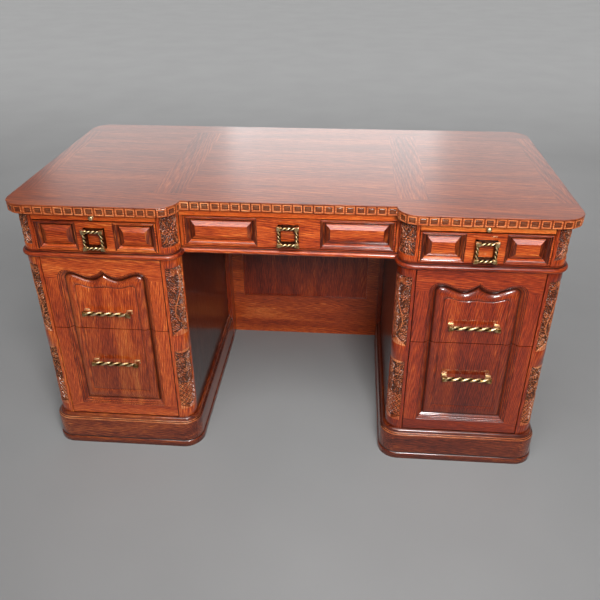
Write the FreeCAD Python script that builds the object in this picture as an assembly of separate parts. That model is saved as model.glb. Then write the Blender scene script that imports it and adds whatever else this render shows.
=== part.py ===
import FreeCAD
import Part
import math
import os

# A pedestal desk in millimetres: X to the right, Y to the back, Z up,
# origin on the floor under the middle of the top. The user sits at -Y.

# Top
TOP_WIDTH = 1460.0
TOP_DEPTH = 740.0
TOP_THICKNESS = 26.0
TOP_CORNER_RADIUS = 58.0
TOP_LIP_HEIGHT = 3.0
TOP_LIP_ROUND = 1.2
CARVED_EDGE_SINK = 3.0
TOP_FRONT_OVERHANG = 24.0
TOP_SIDE_OVERHANG = 19.0
TOP_KNEEHOLE_OVERHANG = 12.0
BREAKFRONT_STEP = 56.0
BREAKFRONT_STRAIGHT = 4.0
BORDER_SIDE_WIDTH = 48.0
BORDER_BACK_WIDTH = 78.0
BORDER_CENTRE_WIDTH = 50.0

# Heights of the storeys, floor upwards
PLINTH_HEIGHT = 102.0
LOWER_DRAWER_HEIGHT = 308.0
UPPER_DRAWER_HEIGHT = 224.0
WAIST_HEIGHT = 19.0
FRIEZE_DRAWER_HEIGHT = 87.0
SLIDE_BAND_HEIGHT = 24.0

# Pedestals
DRAWER_OPENING = 330.0
PILASTER_WIDTH = 46.5
PILASTER_RADIUS = 40.0
SIDE_THICKNESS = 20.0
BACK_THICKNESS = 20.0
SHELF_THICKNESS = 16.0
PANEL_SINK = 5.0
PANEL_STILE = 58.0
PANEL_BEVEL = 8.0

# Sunk carving grounds of the pilasters and the frieze corner blocks
CARVING_SINK = 5.0
CARVING_MARGIN = 2.0
PLAIN_HEAD = 26.0
UPPER_CARVING = 214.0
PLAIN_MIDDLE = 52.0
PLAIN_FOOT = 30.0
BLOCK_PLAIN_HEAD = 10.0
BLOCK_PLAIN_FOOT = 16.0

# Plinth and waist mouldings
PLINTH_PROJECTION = 15.0
PLINTH_SEAT = 34.0
SHOE_HEIGHT = 20.0
SHOE_PROJECTION = 18.0
PLINTH_COVE_HEIGHT = 7.0
PLINTH_BEAD_RADIUS = 4.0
PLINTH_BEAD_NECK = 3.0
WAIST_BEAD_RADIUS = 7.0
WAIST_NECK = 2.0
MOULDING_STEPS = 6
LEDGE = 0.4

# Kneehole
POST_THICKNESS = 16.0
POST_DEPTH = 58.0
MODESTY_SETBACK = 39.0
MODESTY_THICKNESS = 18.0
MODESTY_STILE = 56.0
MODESTY_BOTTOM_RAIL = 161.0
MODESTY_TOP_RAIL = 60.0
MODESTY_PANEL_THICKNESS = 9.0
MODESTY_REBATE = 10.0
CENTRE_STILE = 7.5
CENTRE_RAIL_DEPTH = 28.0
CENTRE_BOTTOM_RAIL_DEPTH = 40.0
RUNNER_BEARING = 12.0

# Drawers
FRONT_GAP = 1.5
FRONT_THICKNESS = 22.0
BOX_INSET = 3.5
BOX_BOARD = 12.0
BOX_BOTTOM = 8.0
BOX_BOTTOM_RISE = 6.0
RUNNING_CLEARANCE = 0.3
GUIDE_CLEARANCE = 1.0
GUIDE_HEIGHT = 28.0
SPACE_OVER_FRIEZE_BOX = 8.0
SPACE_OVER_UPPER_BOX = 49.0
SPACE_OVER_LOWER_BOX = 34.0
SPACE_BEHIND_FRIEZE_BOX = 130.0
SPACE_BEHIND_CENTRE_BOX = 75.0
SPACE_BEHIND_PEDESTAL_BOX = 90.0

# Writing slides
SPACE_BEHIND_SLIDE = 182.0
SLIDE_BOARD = 18.0
SLIDE_RAIL_HEIGHT = 13.0
SLIDE_RAIL_BEARING = 20.0
KNOB_RADIUS = 6.5
KNOB_NECK_RADIUS = 3.0
KNOB_NECK_LENGTH = 7.0

# Fielded panels of the frieze drawers
SIDE_PULL_SPACE = 98.0
CENTRE_PULL_SPACE = 166.0
PANEL_EDGE_MARGIN = 4.0
PANEL_HEIGHT_MARGIN = 1.0
FRAME_WIDTH = 19.0
FRAME_SINK = 11.0
FIELD_FLAT = 10.0
FIELD_RISE = 10.5

# Arched panel across the two pedestal drawers
ARCH_STILE = 38.5
ARCH_BOTTOM_RAIL = 39.0
ARCH_TOP_RAIL = 36.0
ARCH_HUMP_SINK = 2.0
ARCH_DIP_SINK = 18.5
ARCH_DIP_X = 37.0
ARCH_SHOULDER = 27.0
COVE_WIDTH = 17.0
COVE_SINK = 13.0
COVE_SHOULDER = 15.0
BAND_WIDTH = 42.0
BAND_FOOT = 54.0
FIELD_SINK = 3.3
BAND_SWELL = 4.6
FIELD_CUSP_DROP = 54.0
FIELD_HUMP_RISE = 5.0
FIELD_DIP_SINK = 3.7
FIELD_SHOULDER = 8.0
ARCH_STEPS = 7

# Pulls
PULL_STANDOFF = 18.0
SQUARE_PULL = 60.0
SQUARE_PULL_BAR = 9.0
BAR_PULL_LENGTH = 135.0
BAR_PULL_BLOCK = 14.0
BAR_PULL_SECTION = 12.0
BAR_PULL_RADIUS = 5.0
PULL_POST = 9.0
UPPER_PULL_RISE = 58.0
LOWER_PULL_DROP = 110.0
SCREW_RADIUS = 2.0
SCREW_CLEARANCE = 0.2
SCREW_HEAD_RADIUS = 4.0
SCREW_HEAD_HEIGHT = 2.5

# Levels worked out from the storeys
Z_SPLIT = PLINTH_HEIGHT + LOWER_DRAWER_HEIGHT
Z_WAIST = Z_SPLIT + UPPER_DRAWER_HEIGHT
Z_FRIEZE = Z_WAIST + WAIST_HEIGHT
Z_SLIDE = Z_FRIEZE + FRIEZE_DRAWER_HEIGHT
Z_UNDER_TOP = Z_SLIDE + SLIDE_BAND_HEIGHT
Z_TOP = Z_UNDER_TOP + TOP_THICKNESS
FRIEZE_BOX_BOTTOM = Z_FRIEZE + RUNNING_CLEARANCE
FRIEZE_BOX_TOP = Z_SLIDE - SLIDE_RAIL_HEIGHT - SPACE_OVER_FRIEZE_BOX

# Plan lines worked out from the top and the pedestal widths
TOP_SIDE = TOP_WIDTH / 2
TOP_BACK = TOP_DEPTH / 2
FRONT = TOP_FRONT_OVERHANG - TOP_BACK
BACK = TOP_BACK - TOP_FRONT_OVERHANG
OUTER = TOP_SIDE - TOP_SIDE_OVERHANG
INNER = OUTER - DRAWER_OPENING - 2 * PILASTER_WIDTH
MIDDLE = (OUTER + INNER) / 2
BREAK_X = INNER - TOP_KNEEHOLE_OVERHANG
TOP_CENTRE_FRONT = BREAKFRONT_STEP - TOP_BACK
CENTRE_FRONT = FRONT + BREAKFRONT_STEP
BREAKFRONT_RADIUS = BREAKFRONT_STEP - BREAKFRONT_STRAIGHT
PILASTER_BACK = FRONT + PILASTER_WIDTH
POST_FACE = BACK - PILASTER_WIDTH
OPENING_LEFT = INNER + PILASTER_WIDTH
OPENING_RIGHT = OUTER - PILASTER_WIDTH
CAVITY_LEFT = INNER + SIDE_THICKNESS
CAVITY_RIGHT = OUTER - SIDE_THICKNESS
CAVITY_BACK = BACK - BACK_THICKNESS
FRONT_INSIDE = FRONT + FRONT_THICKNESS
MODESTY_FRONT = BACK - MODESTY_SETBACK
MODESTY_BACK = MODESTY_FRONT + MODESTY_THICKNESS
POST_FRONT = MODESTY_FRONT - POST_DEPTH
WAIST_PROJECTION = WAIST_NECK + WAIST_BEAD_RADIUS
CENTRE_RAIL_FRONT = CENTRE_FRONT - WAIST_PROJECTION


def point(x, y, z):
    return FreeCAD.Vector(x, y, z)


def block(x0, x1, y0, y1, z0, z1):
    return Part.makeBox(x1 - x0, y1 - y0, z1 - z0, point(x0, y0, z0))


def mirrored(shape):
    """The left-hand twin of a right-hand piece."""
    return shape.mirror(point(0, 0, 0), point(1, 0, 0))


def outline(corners, z):
    """Closed wire through square corners, each rounded by its own radius."""
    arcs = []
    for index, (x, y, radius) in enumerate(corners):
        here = point(x, y, z)
        before = corners[index - 1]
        after = corners[(index + 1) % len(corners)]
        back = (point(before[0], before[1], z) - here).normalize()
        onward = (point(after[0], after[1], z) - here).normalize()
        middle = here + (back + onward) * (radius * (1 - math.sqrt(0.5)))
        arcs.append((here + back * radius, middle, here + onward * radius, radius))
    edges = []
    for index, (start, middle, end, radius) in enumerate(arcs):
        if radius > 0:
            edges.append(Part.Arc(start, middle, end).toShape())
        following = arcs[(index + 1) % len(arcs)][0]
        if (following - end).Length > 1e-6:
            edges.append(Part.makeLine(end, following))
    return Part.Wire(edges)


def prism(corners, z0, z1):
    return Part.Face(outline(corners, z0)).extrude(point(0, 0, z1 - z0))


def moulded(corners_at, profile):
    """Solid whose outline steps in and out with height: (projection, z) pairs."""
    return Part.makeLoft([outline(corners_at(out), z) for out, z in profile], True, True)


def bead(neck, radius, centre_z):
    """Half-round moulding profile, from its lower to its upper edge."""
    pairs = []
    for step in range(MOULDING_STEPS + 1):
        angle = math.pi * (step / MOULDING_STEPS - 0.5)
        pairs.append((neck + radius * math.cos(angle), centre_z + radius * math.sin(angle)))
    return pairs


def rectangle(x0, x1, z0, z1, y):
    """Upright rectangle, as a wire facing the user."""
    corners = [point(x0, y, z0), point(x1, y, z0), point(x1, y, z1), point(x0, y, z1)]
    return Part.makePolygon(corners + corners[:1])


# Top

def top_corners(out):
    side = TOP_SIDE + out
    back = TOP_BACK + out
    centre = TOP_CENTRE_FRONT - out
    outer_round = TOP_CORNER_RADIUS + out
    inner_round = BREAKFRONT_RADIUS + out
    inner_x = BREAK_X - out
    return [
        (-side, -back, outer_round), (-inner_x, -back, inner_round),
        (-inner_x, centre, 0), (inner_x, centre, 0),
        (inner_x, -back, inner_round), (side, -back, outer_round),
        (side, back, outer_round), (-side, back, outer_round),
    ]


def make_top():
    slab = moulded(top_corners, [
        (-CARVED_EDGE_SINK, Z_UNDER_TOP),
        (-CARVED_EDGE_SINK, Z_TOP - TOP_LIP_HEIGHT),
        (0, Z_TOP - TOP_LIP_HEIGHT + LEDGE),
        (0, Z_TOP - TOP_LIP_ROUND),
        (-TOP_LIP_ROUND, Z_TOP),
    ])
    x1 = TOP_SIDE - BORDER_SIDE_WIDTH
    y0 = TOP_CENTRE_FRONT + BORDER_CENTRE_WIDTH
    y1 = TOP_BACK - BORDER_BACK_WIDTH
    panel = block(-x1, x1, y0, y1, Z_UNDER_TOP, Z_TOP)
    lengths = [
        block(-TOP_SIDE, -BREAK_X, -TOP_BACK, y0, Z_UNDER_TOP, Z_TOP),
        block(-BREAK_X, BREAK_X, -TOP_BACK, y0, Z_UNDER_TOP, Z_TOP),
        block(BREAK_X, TOP_SIDE, -TOP_BACK, y0, Z_UNDER_TOP, Z_TOP),
        block(-TOP_SIDE, -x1, y0, y1, Z_UNDER_TOP, Z_TOP),
        block(x1, TOP_SIDE, y0, y1, Z_UNDER_TOP, Z_TOP),
        block(-TOP_SIDE, TOP_SIDE, y1, TOP_BACK, Z_UNDER_TOP, Z_TOP),
    ]
    return panel, Part.makeCompound([slab.common(length) for length in lengths])


# Pedestals

def pedestal_corners(out):
    rounded = PILASTER_RADIUS + out
    return [
        (INNER - out, FRONT - out, rounded), (OUTER + out, FRONT - out, rounded),
        (OUTER + out, BACK + out, rounded), (INNER - out, BACK + out, 0),
    ]


def corner_post(x, y, turn_x, turn_y, z0, z1):
    """Square post with its outward corner at (x, y) rounded over."""
    far_x = x + turn_x * PILASTER_WIDTH
    far_y = y + turn_y * PILASTER_WIDTH
    return prism([(x, y, PILASTER_RADIUS), (far_x, y, 0), (far_x, far_y, 0), (x, far_y, 0)], z0, z1)


def carving_ground(x, turn_x, z0, z1):
    """What is taken off the rounded corner to sink a carved length."""
    reach = PILASTER_RADIUS - CARVING_MARGIN
    x_ends = sorted((x, x + turn_x * reach))
    around = block(x_ends[0], x_ends[1], FRONT, FRONT + reach, z0, z1)
    centre = point(x + turn_x * PILASTER_RADIUS, FRONT + PILASTER_RADIUS, z0)
    return around.cut(Part.makeCylinder(PILASTER_RADIUS - CARVING_SINK, z1 - z0, centre))


def make_pilaster(x, turn_x):
    head = Z_WAIST - PLAIN_HEAD
    post = corner_post(x, FRONT, turn_x, 1, PLINTH_HEIGHT, Z_WAIST)
    post = post.cut(carving_ground(x, turn_x, head - UPPER_CARVING, head))
    foot = PLINTH_HEIGHT + PLAIN_FOOT
    return post.cut(carving_ground(x, turn_x, foot, head - UPPER_CARVING - PLAIN_MIDDLE))


def make_corner_blocks():
    blocks = []
    for x, turn_x in ((INNER, 1), (OUTER, -1)):
        post = corner_post(x, FRONT, turn_x, 1, Z_FRIEZE, Z_UNDER_TOP)
        z0 = Z_FRIEZE + BLOCK_PLAIN_FOOT
        blocks.append(post.cut(carving_ground(x, turn_x, z0, Z_UNDER_TOP - BLOCK_PLAIN_HEAD)))
    return Part.makeCompound(blocks)


def make_rear_posts():
    outer = corner_post(OUTER, BACK, -1, -1, PLINTH_HEIGHT, Z_UNDER_TOP)
    inner = block(INNER, OPENING_LEFT, POST_FACE, BACK, PLINTH_HEIGHT, Z_UNDER_TOP)
    return Part.makeCompound([mirrored(outer), mirrored(inner), inner, outer])


def sunk_panel(ends_a, z0, z1, at, sink):
    """Bevelled recess for an upright board: outline in (a, z), depth along the third axis."""
    a0, a1 = ends_a
    wires = []
    for inset, depth in ((0, -1), (0, 0), (PANEL_BEVEL, 1)):
        ring = [(a0 + inset, z0 + inset), (a1 - inset, z0 + inset)]
        ring += [(a1 - inset, z1 - inset), (a0 + inset, z1 - inset)]
        corners = [at(a, depth * sink, z) for a, z in ring]
        wires.append(Part.makePolygon(corners + corners[:1]))
    return Part.makeLoft(wires, True, True)


def make_outer_side():
    board = block(CAVITY_RIGHT, OUTER, PILASTER_BACK, POST_FACE, PLINTH_HEIGHT, Z_UNDER_TOP)
    ends = (PILASTER_BACK + PANEL_STILE, POST_FACE - PANEL_STILE)
    z0 = PLINTH_HEIGHT + PANEL_STILE
    z1 = Z_WAIST - PANEL_STILE
    return board.cut(sunk_panel(ends, z0, z1, lambda y, d, z: point(OUTER - d, y, z), PANEL_SINK))


def make_inner_side():
    return block(INNER, CAVITY_LEFT, PILASTER_BACK, POST_FACE, PLINTH_HEIGHT, Z_UNDER_TOP)


def make_back():
    board = block(OPENING_LEFT, OPENING_RIGHT, CAVITY_BACK, BACK, PLINTH_HEIGHT, Z_UNDER_TOP)
    ends = (OPENING_LEFT + PANEL_STILE, OPENING_RIGHT - PANEL_STILE)
    z0 = PLINTH_HEIGHT + PANEL_STILE
    z1 = Z_WAIST - PANEL_STILE
    return board.cut(sunk_panel(ends, z0, z1, lambda x, d, z: point(x, BACK - d, z), PANEL_SINK))


def make_shelf(z0, front):
    """Board between the sides, reaching forward and back between the corner posts."""
    z1 = z0 + SHELF_THICKNESS
    wide = block(CAVITY_LEFT, CAVITY_RIGHT, PILASTER_BACK, POST_FACE, z0, z1)
    long = block(OPENING_LEFT, OPENING_RIGHT, front, CAVITY_BACK, z0, z1)
    return wide.fuse(long).removeSplitter()


def waist_profile():
    centre_z = Z_WAIST + WAIST_BEAD_RADIUS
    ledge_z = centre_z + WAIST_BEAD_RADIUS + LEDGE
    half_neck = WAIST_NECK / 2
    return bead(WAIST_NECK, WAIST_BEAD_RADIUS, centre_z) + [(half_neck, ledge_z), (half_neck, Z_FRIEZE)]


def make_waist():
    ring = moulded(pedestal_corners, waist_profile())
    behind = block(INNER, OUTER, PILASTER_BACK, BACK, Z_WAIST, Z_FRIEZE)
    ring = ring.cut(prism(pedestal_corners(0), Z_WAIST, Z_FRIEZE).common(behind))
    reach = INNER - WAIST_PROJECTION
    return ring.cut(block(reach, INNER, CENTRE_RAIL_FRONT, MODESTY_BACK, Z_WAIST, Z_FRIEZE))


def make_plinth():
    bead_z = PLINTH_HEIGHT - PLINTH_BEAD_RADIUS
    neck = PLINTH_BEAD_NECK
    cove_top = bead_z - PLINTH_BEAD_RADIUS
    profile = [
        (SHOE_PROJECTION, 0), (SHOE_PROJECTION, SHOE_HEIGHT - LEDGE),
        (PLINTH_PROJECTION, SHOE_HEIGHT), (PLINTH_PROJECTION, cove_top - PLINTH_COVE_HEIGHT),
        (neck + PLINTH_BEAD_RADIUS + LEDGE, cove_top - LEDGE),
    ]
    ring = moulded(pedestal_corners, profile + bead(neck, PLINTH_BEAD_RADIUS, bead_z))
    x0 = INNER + PLINTH_SEAT
    x1 = OUTER - PLINTH_SEAT
    y0 = FRONT + PLINTH_SEAT
    y1 = BACK - PLINTH_SEAT
    ring = ring.cut(block(x0, x1, y0, y1, 0, PLINTH_HEIGHT))
    reach = SHOE_PROJECTION
    ring = ring.cut(block(INNER - reach, INNER, POST_FRONT, MODESTY_BACK, 0, PLINTH_HEIGHT))
    lengths = [
        block(INNER - reach, OUTER + reach, FRONT - reach, y0, 0, PLINTH_HEIGHT),
        block(INNER - reach, OUTER + reach, y1, BACK + reach, 0, PLINTH_HEIGHT),
        block(INNER - reach, x0, y0, y1, 0, PLINTH_HEIGHT),
        block(x1, OUTER + reach, y0, y1, 0, PLINTH_HEIGHT),
    ]
    return Part.makeCompound([ring.common(length) for length in lengths])


def box_ends():
    return OPENING_LEFT + BOX_INSET, OPENING_RIGHT - BOX_INSET


def make_guides():
    """Strips that steer each drawer box, and the rails under the writing slide."""
    left, right = box_ends()
    strips = []
    for z0 in (PLINTH_HEIGHT + SHELF_THICKNESS, Z_SPLIT + SHELF_THICKNESS / 2, Z_FRIEZE):
        z1 = z0 + GUIDE_HEIGHT
        inside = left - GUIDE_CLEARANCE
        strips.append(block(CAVITY_LEFT, inside, PILASTER_BACK, POST_FACE, z0, z1))
        inside = right + GUIDE_CLEARANCE
        strips.append(block(inside, CAVITY_RIGHT, PILASTER_BACK, POST_FACE, z0, z1))
    z1 = Z_SLIDE + FRONT_GAP - RUNNING_CLEARANCE
    z0 = z1 - SLIDE_RAIL_HEIGHT
    bearing = OPENING_LEFT + SLIDE_RAIL_BEARING
    strips.append(block(CAVITY_LEFT, bearing, PILASTER_BACK, POST_FACE, z0, z1))
    bearing = OPENING_RIGHT - SLIDE_RAIL_BEARING
    strips.append(block(bearing, CAVITY_RIGHT, PILASTER_BACK, POST_FACE, z0, z1))
    return Part.makeCompound(strips)


# Centre section and kneehole

def make_centre_top_rail():
    back = CENTRE_FRONT + CENTRE_RAIL_DEPTH
    return block(-INNER, INNER, CENTRE_FRONT, back, Z_SLIDE, Z_UNDER_TOP)


def make_centre_bottom_rail():
    """Rail under the centre drawer, with the waist moulding along its front."""
    back = CENTRE_FRONT + CENTRE_BOTTOM_RAIL_DEPTH
    section = [point(-INNER, CENTRE_FRONT - out, z) for out, z in waist_profile()]
    section += [point(-INNER, back, Z_FRIEZE), point(-INNER, back, Z_WAIST)]
    face = Part.Face(Part.makePolygon(section + section[:1]))
    return face.extrude(point(2 * INNER, 0, 0))


def make_centre_stiles():
    back = CENTRE_FRONT + CENTRE_RAIL_DEPTH
    stile = block(INNER - CENTRE_STILE, INNER, CENTRE_FRONT, back, Z_FRIEZE, Z_SLIDE)
    return Part.makeCompound([mirrored(stile), stile])


def centre_box_side():
    return INNER - CENTRE_STILE - FRONT_GAP - 2 * BOX_BOARD


def make_centre_runners():
    """L-shaped runners that carry and steer the centre drawer."""
    side = centre_box_side()
    front = CENTRE_FRONT + CENTRE_BOTTOM_RAIL_DEPTH
    bearing = side - RUNNER_BEARING
    base = block(bearing, INNER, front, MODESTY_FRONT, Z_FRIEZE - SHELF_THICKNESS, Z_FRIEZE)
    steer = side + GUIDE_CLEARANCE
    upright = block(steer, INNER, front, MODESTY_FRONT, Z_FRIEZE, Z_FRIEZE + GUIDE_HEIGHT)
    runner = base.fuse(upright).removeSplitter()
    return Part.makeCompound([mirrored(runner), runner])


def make_kneehole_posts():
    z1 = Z_FRIEZE - SHELF_THICKNESS
    post = block(INNER - POST_THICKNESS, INNER, POST_FRONT, MODESTY_FRONT, 0, z1)
    return Part.makeCompound([mirrored(post), post])


def make_modesty():
    frame = block(-INNER, INNER, MODESTY_FRONT, MODESTY_BACK, 0, Z_UNDER_TOP)
    x1 = INNER - MODESTY_STILE
    z0 = MODESTY_BOTTOM_RAIL
    z1 = Z_WAIST - MODESTY_TOP_RAIL
    frame = frame.cut(block(-x1, x1, MODESTY_FRONT, MODESTY_BACK, z0, z1))
    lap = MODESTY_REBATE
    panel_front = MODESTY_BACK - MODESTY_PANEL_THICKNESS
    panel = block(-x1 - lap, x1 + lap, panel_front, MODESTY_BACK, z0 - lap, z1 + lap)
    return frame.cut(panel), panel


# Drawers

def make_box(x0, x1, y0, y1, z0, z1):
    """Two sides, a back and a bottom behind a drawer front."""
    inner_x0 = x0 + BOX_BOARD
    inner_x1 = x1 - BOX_BOARD
    inner_y1 = y1 - BOX_BOARD
    bottom_z = z0 + BOX_BOTTOM_RISE
    return Part.makeCompound([
        block(x0, inner_x0, y0, y1, z0, z1),
        block(inner_x1, x1, y0, y1, z0, z1),
        block(inner_x0, inner_x1, inner_y1, y1, z0, z1),
        block(inner_x0, inner_x1, y0, inner_y1, bottom_z, bottom_z + BOX_BOTTOM),
    ])


def panel_hollow(x0, x1, z0, z1, face):
    """Hollow to cut from a board: a sloping frame round a field that rises to a narrow flat."""
    def ring(inset, sink):
        return rectangle(x0 + inset, x1 - inset, z0 + inset, z1 - inset, face + sink)
    flat = (z1 - z0 - FIELD_FLAT) / 2
    hollow = Part.makeLoft([ring(0, -1), ring(0, 0), ring(FRAME_WIDTH, FRAME_SINK)], True, True)
    field = [ring(FRAME_WIDTH, FRAME_SINK), ring(flat, FRAME_SINK - FIELD_RISE)]
    return hollow.cut(Part.makeLoft(field, True, True))


def screw_holes(spots, face, inside):
    radius = SCREW_RADIUS + SCREW_CLEARANCE
    length = inside - face
    return [Part.makeCylinder(radius, length, point(x, face, z), point(0, 1, 0)) for x, z in spots]


def square_pull_spots(x, z):
    reach = (SQUARE_PULL - SQUARE_PULL_BAR) / 2
    return [(x - reach, z), (x + reach, z)]


def make_frieze_front(x0, x1, face, pull_space):
    """Board with a fielded panel cut in each end and room for the pull between."""
    z0 = Z_FRIEZE + FRONT_GAP
    z1 = Z_SLIDE - FRONT_GAP
    inside = face + FRONT_THICKNESS
    front = block(x0, x1, face, inside, z0, z1)
    bottom = z0 + PANEL_HEIGHT_MARGIN
    top = z1 - PANEL_HEIGHT_MARGIN
    left = x0 + PANEL_EDGE_MARGIN
    right = x1 - PANEL_EDGE_MARGIN
    panel_width = (right - left - pull_space) / 2
    spots = square_pull_spots((x0 + x1) / 2, (z0 + z1) / 2)
    cuts = screw_holes(spots, face, inside)
    for start in (left, right - panel_width):
        cuts.append(panel_hollow(start, start + panel_width, bottom, top, face))
    return front.cut(Part.makeCompound(cuts))


def arch_wire(half_width, bottom, cusp, hump, dip, shoulder, y):
    """Upright outline: straight sides, rounded shoulders, two dips and a pointed cusp."""
    hump_x = half_width - shoulder
    right = []
    for step in range(ARCH_STEPS):
        angle = math.pi / 2 * step / ARCH_STEPS
        rise = shoulder * (1 - math.sin(angle))
        right.append((hump_x + shoulder * math.cos(angle), hump - rise))
    for step in range(ARCH_STEPS):
        share = step / ARCH_STEPS
        swing = (1 + math.cos(math.pi * share)) / 2
        right.append((hump_x + (ARCH_DIP_X - hump_x) * share, dip + (hump - dip) * swing))
    for step in range(ARCH_STEPS):
        share = step / ARCH_STEPS
        right.append((ARCH_DIP_X * (1 - share), dip + (cusp - dip) * share * share))
    left = [(-x, z) for x, z in reversed(right)]
    ring = [(-half_width, bottom), (half_width, bottom)] + right + [(0, cusp)] + left
    corners = [point(MIDDLE + x, y, z) for x, z in ring]
    return Part.makePolygon(corners + corners[:1])


def make_pedestal_fronts():
    """Upper and lower drawer fronts, cut from one arched panel so that the lines run through."""
    x0 = OPENING_LEFT + FRONT_GAP
    x1 = OPENING_RIGHT - FRONT_GAP
    z0 = PLINTH_HEIGHT + FRONT_GAP
    z1 = Z_WAIST - FRONT_GAP
    half = DRAWER_OPENING / 2 - ARCH_STILE
    bottom = PLINTH_HEIGHT + ARCH_BOTTOM_RAIL
    cusp = Z_WAIST - ARCH_TOP_RAIL
    hump = cusp - ARCH_HUMP_SINK
    dip = cusp - ARCH_DIP_SINK
    mouth = (half, bottom, cusp, hump, dip, ARCH_SHOULDER)
    cove = (half - COVE_WIDTH, bottom + COVE_WIDTH, cusp - COVE_WIDTH,
            hump - COVE_WIDTH, dip - COVE_WIDTH, COVE_SHOULDER)
    field_cusp = cusp - FIELD_CUSP_DROP
    field = (half - BAND_WIDTH, bottom + BAND_FOOT, field_cusp,
             field_cusp + FIELD_HUMP_RISE, field_cusp - FIELD_DIP_SINK, FIELD_SHOULDER)
    halfway = tuple((a + b) / 2 for a, b in zip(cove, field))
    deep = FRONT + COVE_SINK
    shallow = FRONT + FIELD_SINK
    swell = FRONT + FIELD_SINK + (COVE_SINK - FIELD_SINK) / 2 - BAND_SWELL
    hollow = [arch_wire(*mouth, FRONT - 1), arch_wire(*mouth, FRONT), arch_wire(*cove, deep)]
    band = [arch_wire(*cove, deep), arch_wire(*halfway, swell), arch_wire(*field, shallow)]
    door = block(x0, x1, FRONT, FRONT_INSIDE, z0, z1)
    door = door.cut(Part.makeLoft(hollow, True, True)).fuse(Part.makeLoft(band, True, True))
    spots = bar_pull_spots(Z_SPLIT + UPPER_PULL_RISE) + bar_pull_spots(Z_SPLIT - LOWER_PULL_DROP)
    door = door.cut(Part.makeCompound(screw_holes(spots, FRONT, FRONT_INSIDE)))
    half_gap = FRONT_GAP / 2
    upper = door.common(block(x0, x1, FRONT, FRONT_INSIDE, Z_SPLIT + half_gap, z1))
    lower = door.common(block(x0, x1, FRONT, FRONT_INSIDE, z0, Z_SPLIT - half_gap))
    return upper, lower


# Pulls

def post_and_screw(x, z, seat, inside, plane_back):
    """Square post from the pull back to the drawer front, and the screw that holds it."""
    half = PULL_POST / 2
    toward = point(0, 1, 0)
    post = block(x - half, x + half, plane_back, seat, z - half, z + half)
    shank = Part.makeCylinder(SCREW_RADIUS, inside - seat, point(x, seat, z), toward)
    head = Part.makeCylinder(SCREW_HEAD_RADIUS, SCREW_HEAD_HEIGHT, point(x, inside, z), toward)
    return [post, shank.fuse(head)]


def make_square_pull(x, face):
    """Square ring of four bars on two posts."""
    z = (Z_FRIEZE + Z_SLIDE) / 2
    half = SQUARE_PULL / 2
    inner = half - SQUARE_PULL_BAR
    axis = face - PULL_STANDOFF
    y0 = axis - SQUARE_PULL_BAR / 2
    y1 = axis + SQUARE_PULL_BAR / 2
    solids = [
        block(x - half, x + half, y0, y1, z + inner, z + half),
        block(x - half, x + half, y0, y1, z - half, z - inner),
        block(x - half, x - inner, y0, y1, z - inner, z + inner),
        block(x + inner, x + half, y0, y1, z - inner, z + inner),
    ]
    for spot_x, spot_z in square_pull_spots(x, z):
        solids += post_and_screw(spot_x, spot_z, face, face + FRONT_THICKNESS, y1)
    return Part.makeCompound(solids)


def bar_pull_spots(z):
    reach = (BAR_PULL_LENGTH - BAR_PULL_BLOCK) / 2
    return [(MIDDLE - reach, z), (MIDDLE + reach, z)]


def make_bar_pull(z):
    """Round bar between two square blocks, each on its own post."""
    seat = FRONT + FIELD_SINK
    axis = seat - PULL_STANDOFF
    half = BAR_PULL_SECTION / 2
    long_half = BAR_PULL_BLOCK / 2
    length = BAR_PULL_LENGTH - 2 * BAR_PULL_BLOCK
    start = point(MIDDLE - length / 2, axis, z)
    solids = [Part.makeCylinder(BAR_PULL_RADIUS, length, start, point(1, 0, 0))]
    for x, spot_z in bar_pull_spots(z):
        solids.append(block(x - long_half, x + long_half, axis - half, axis + half, z - half, z + half))
        solids += post_and_screw(x, spot_z, seat, FRONT_INSIDE, axis + half)
    return Part.makeCompound(solids)


# Writing slides

def make_slide():
    """Sliding board with a lipped front."""
    x0 = OPENING_LEFT + FRONT_GAP
    x1 = OPENING_RIGHT - FRONT_GAP
    z0 = Z_SLIDE + FRONT_GAP
    lip = block(x0, x1, FRONT, FRONT_INSIDE, z0, Z_UNDER_TOP - FRONT_GAP)
    board_back = CAVITY_BACK - SPACE_BEHIND_SLIDE
    board = block(x0, x1, FRONT_INSIDE, board_back, z0, z0 + SLIDE_BOARD)
    return Part.makeCompound([lip, board])


def make_knob():
    z = (Z_SLIDE + Z_UNDER_TOP) / 2
    toward = point(0, -1, 0)
    neck = Part.makeCylinder(KNOB_NECK_RADIUS, KNOB_NECK_LENGTH, point(MIDDLE, FRONT, z), toward)
    centre = point(MIDDLE, FRONT - KNOB_NECK_LENGTH, z)
    ball = Part.makeSphere(KNOB_RADIUS, centre)
    before = block(MIDDLE - KNOB_RADIUS, MIDDLE + KNOB_RADIUS, FRONT - 2 * KNOB_RADIUS - KNOB_NECK_LENGTH,
                   FRONT, z - KNOB_RADIUS, z + KNOB_RADIUS)
    return neck.fuse(ball.common(before)).removeSplitter()


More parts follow.
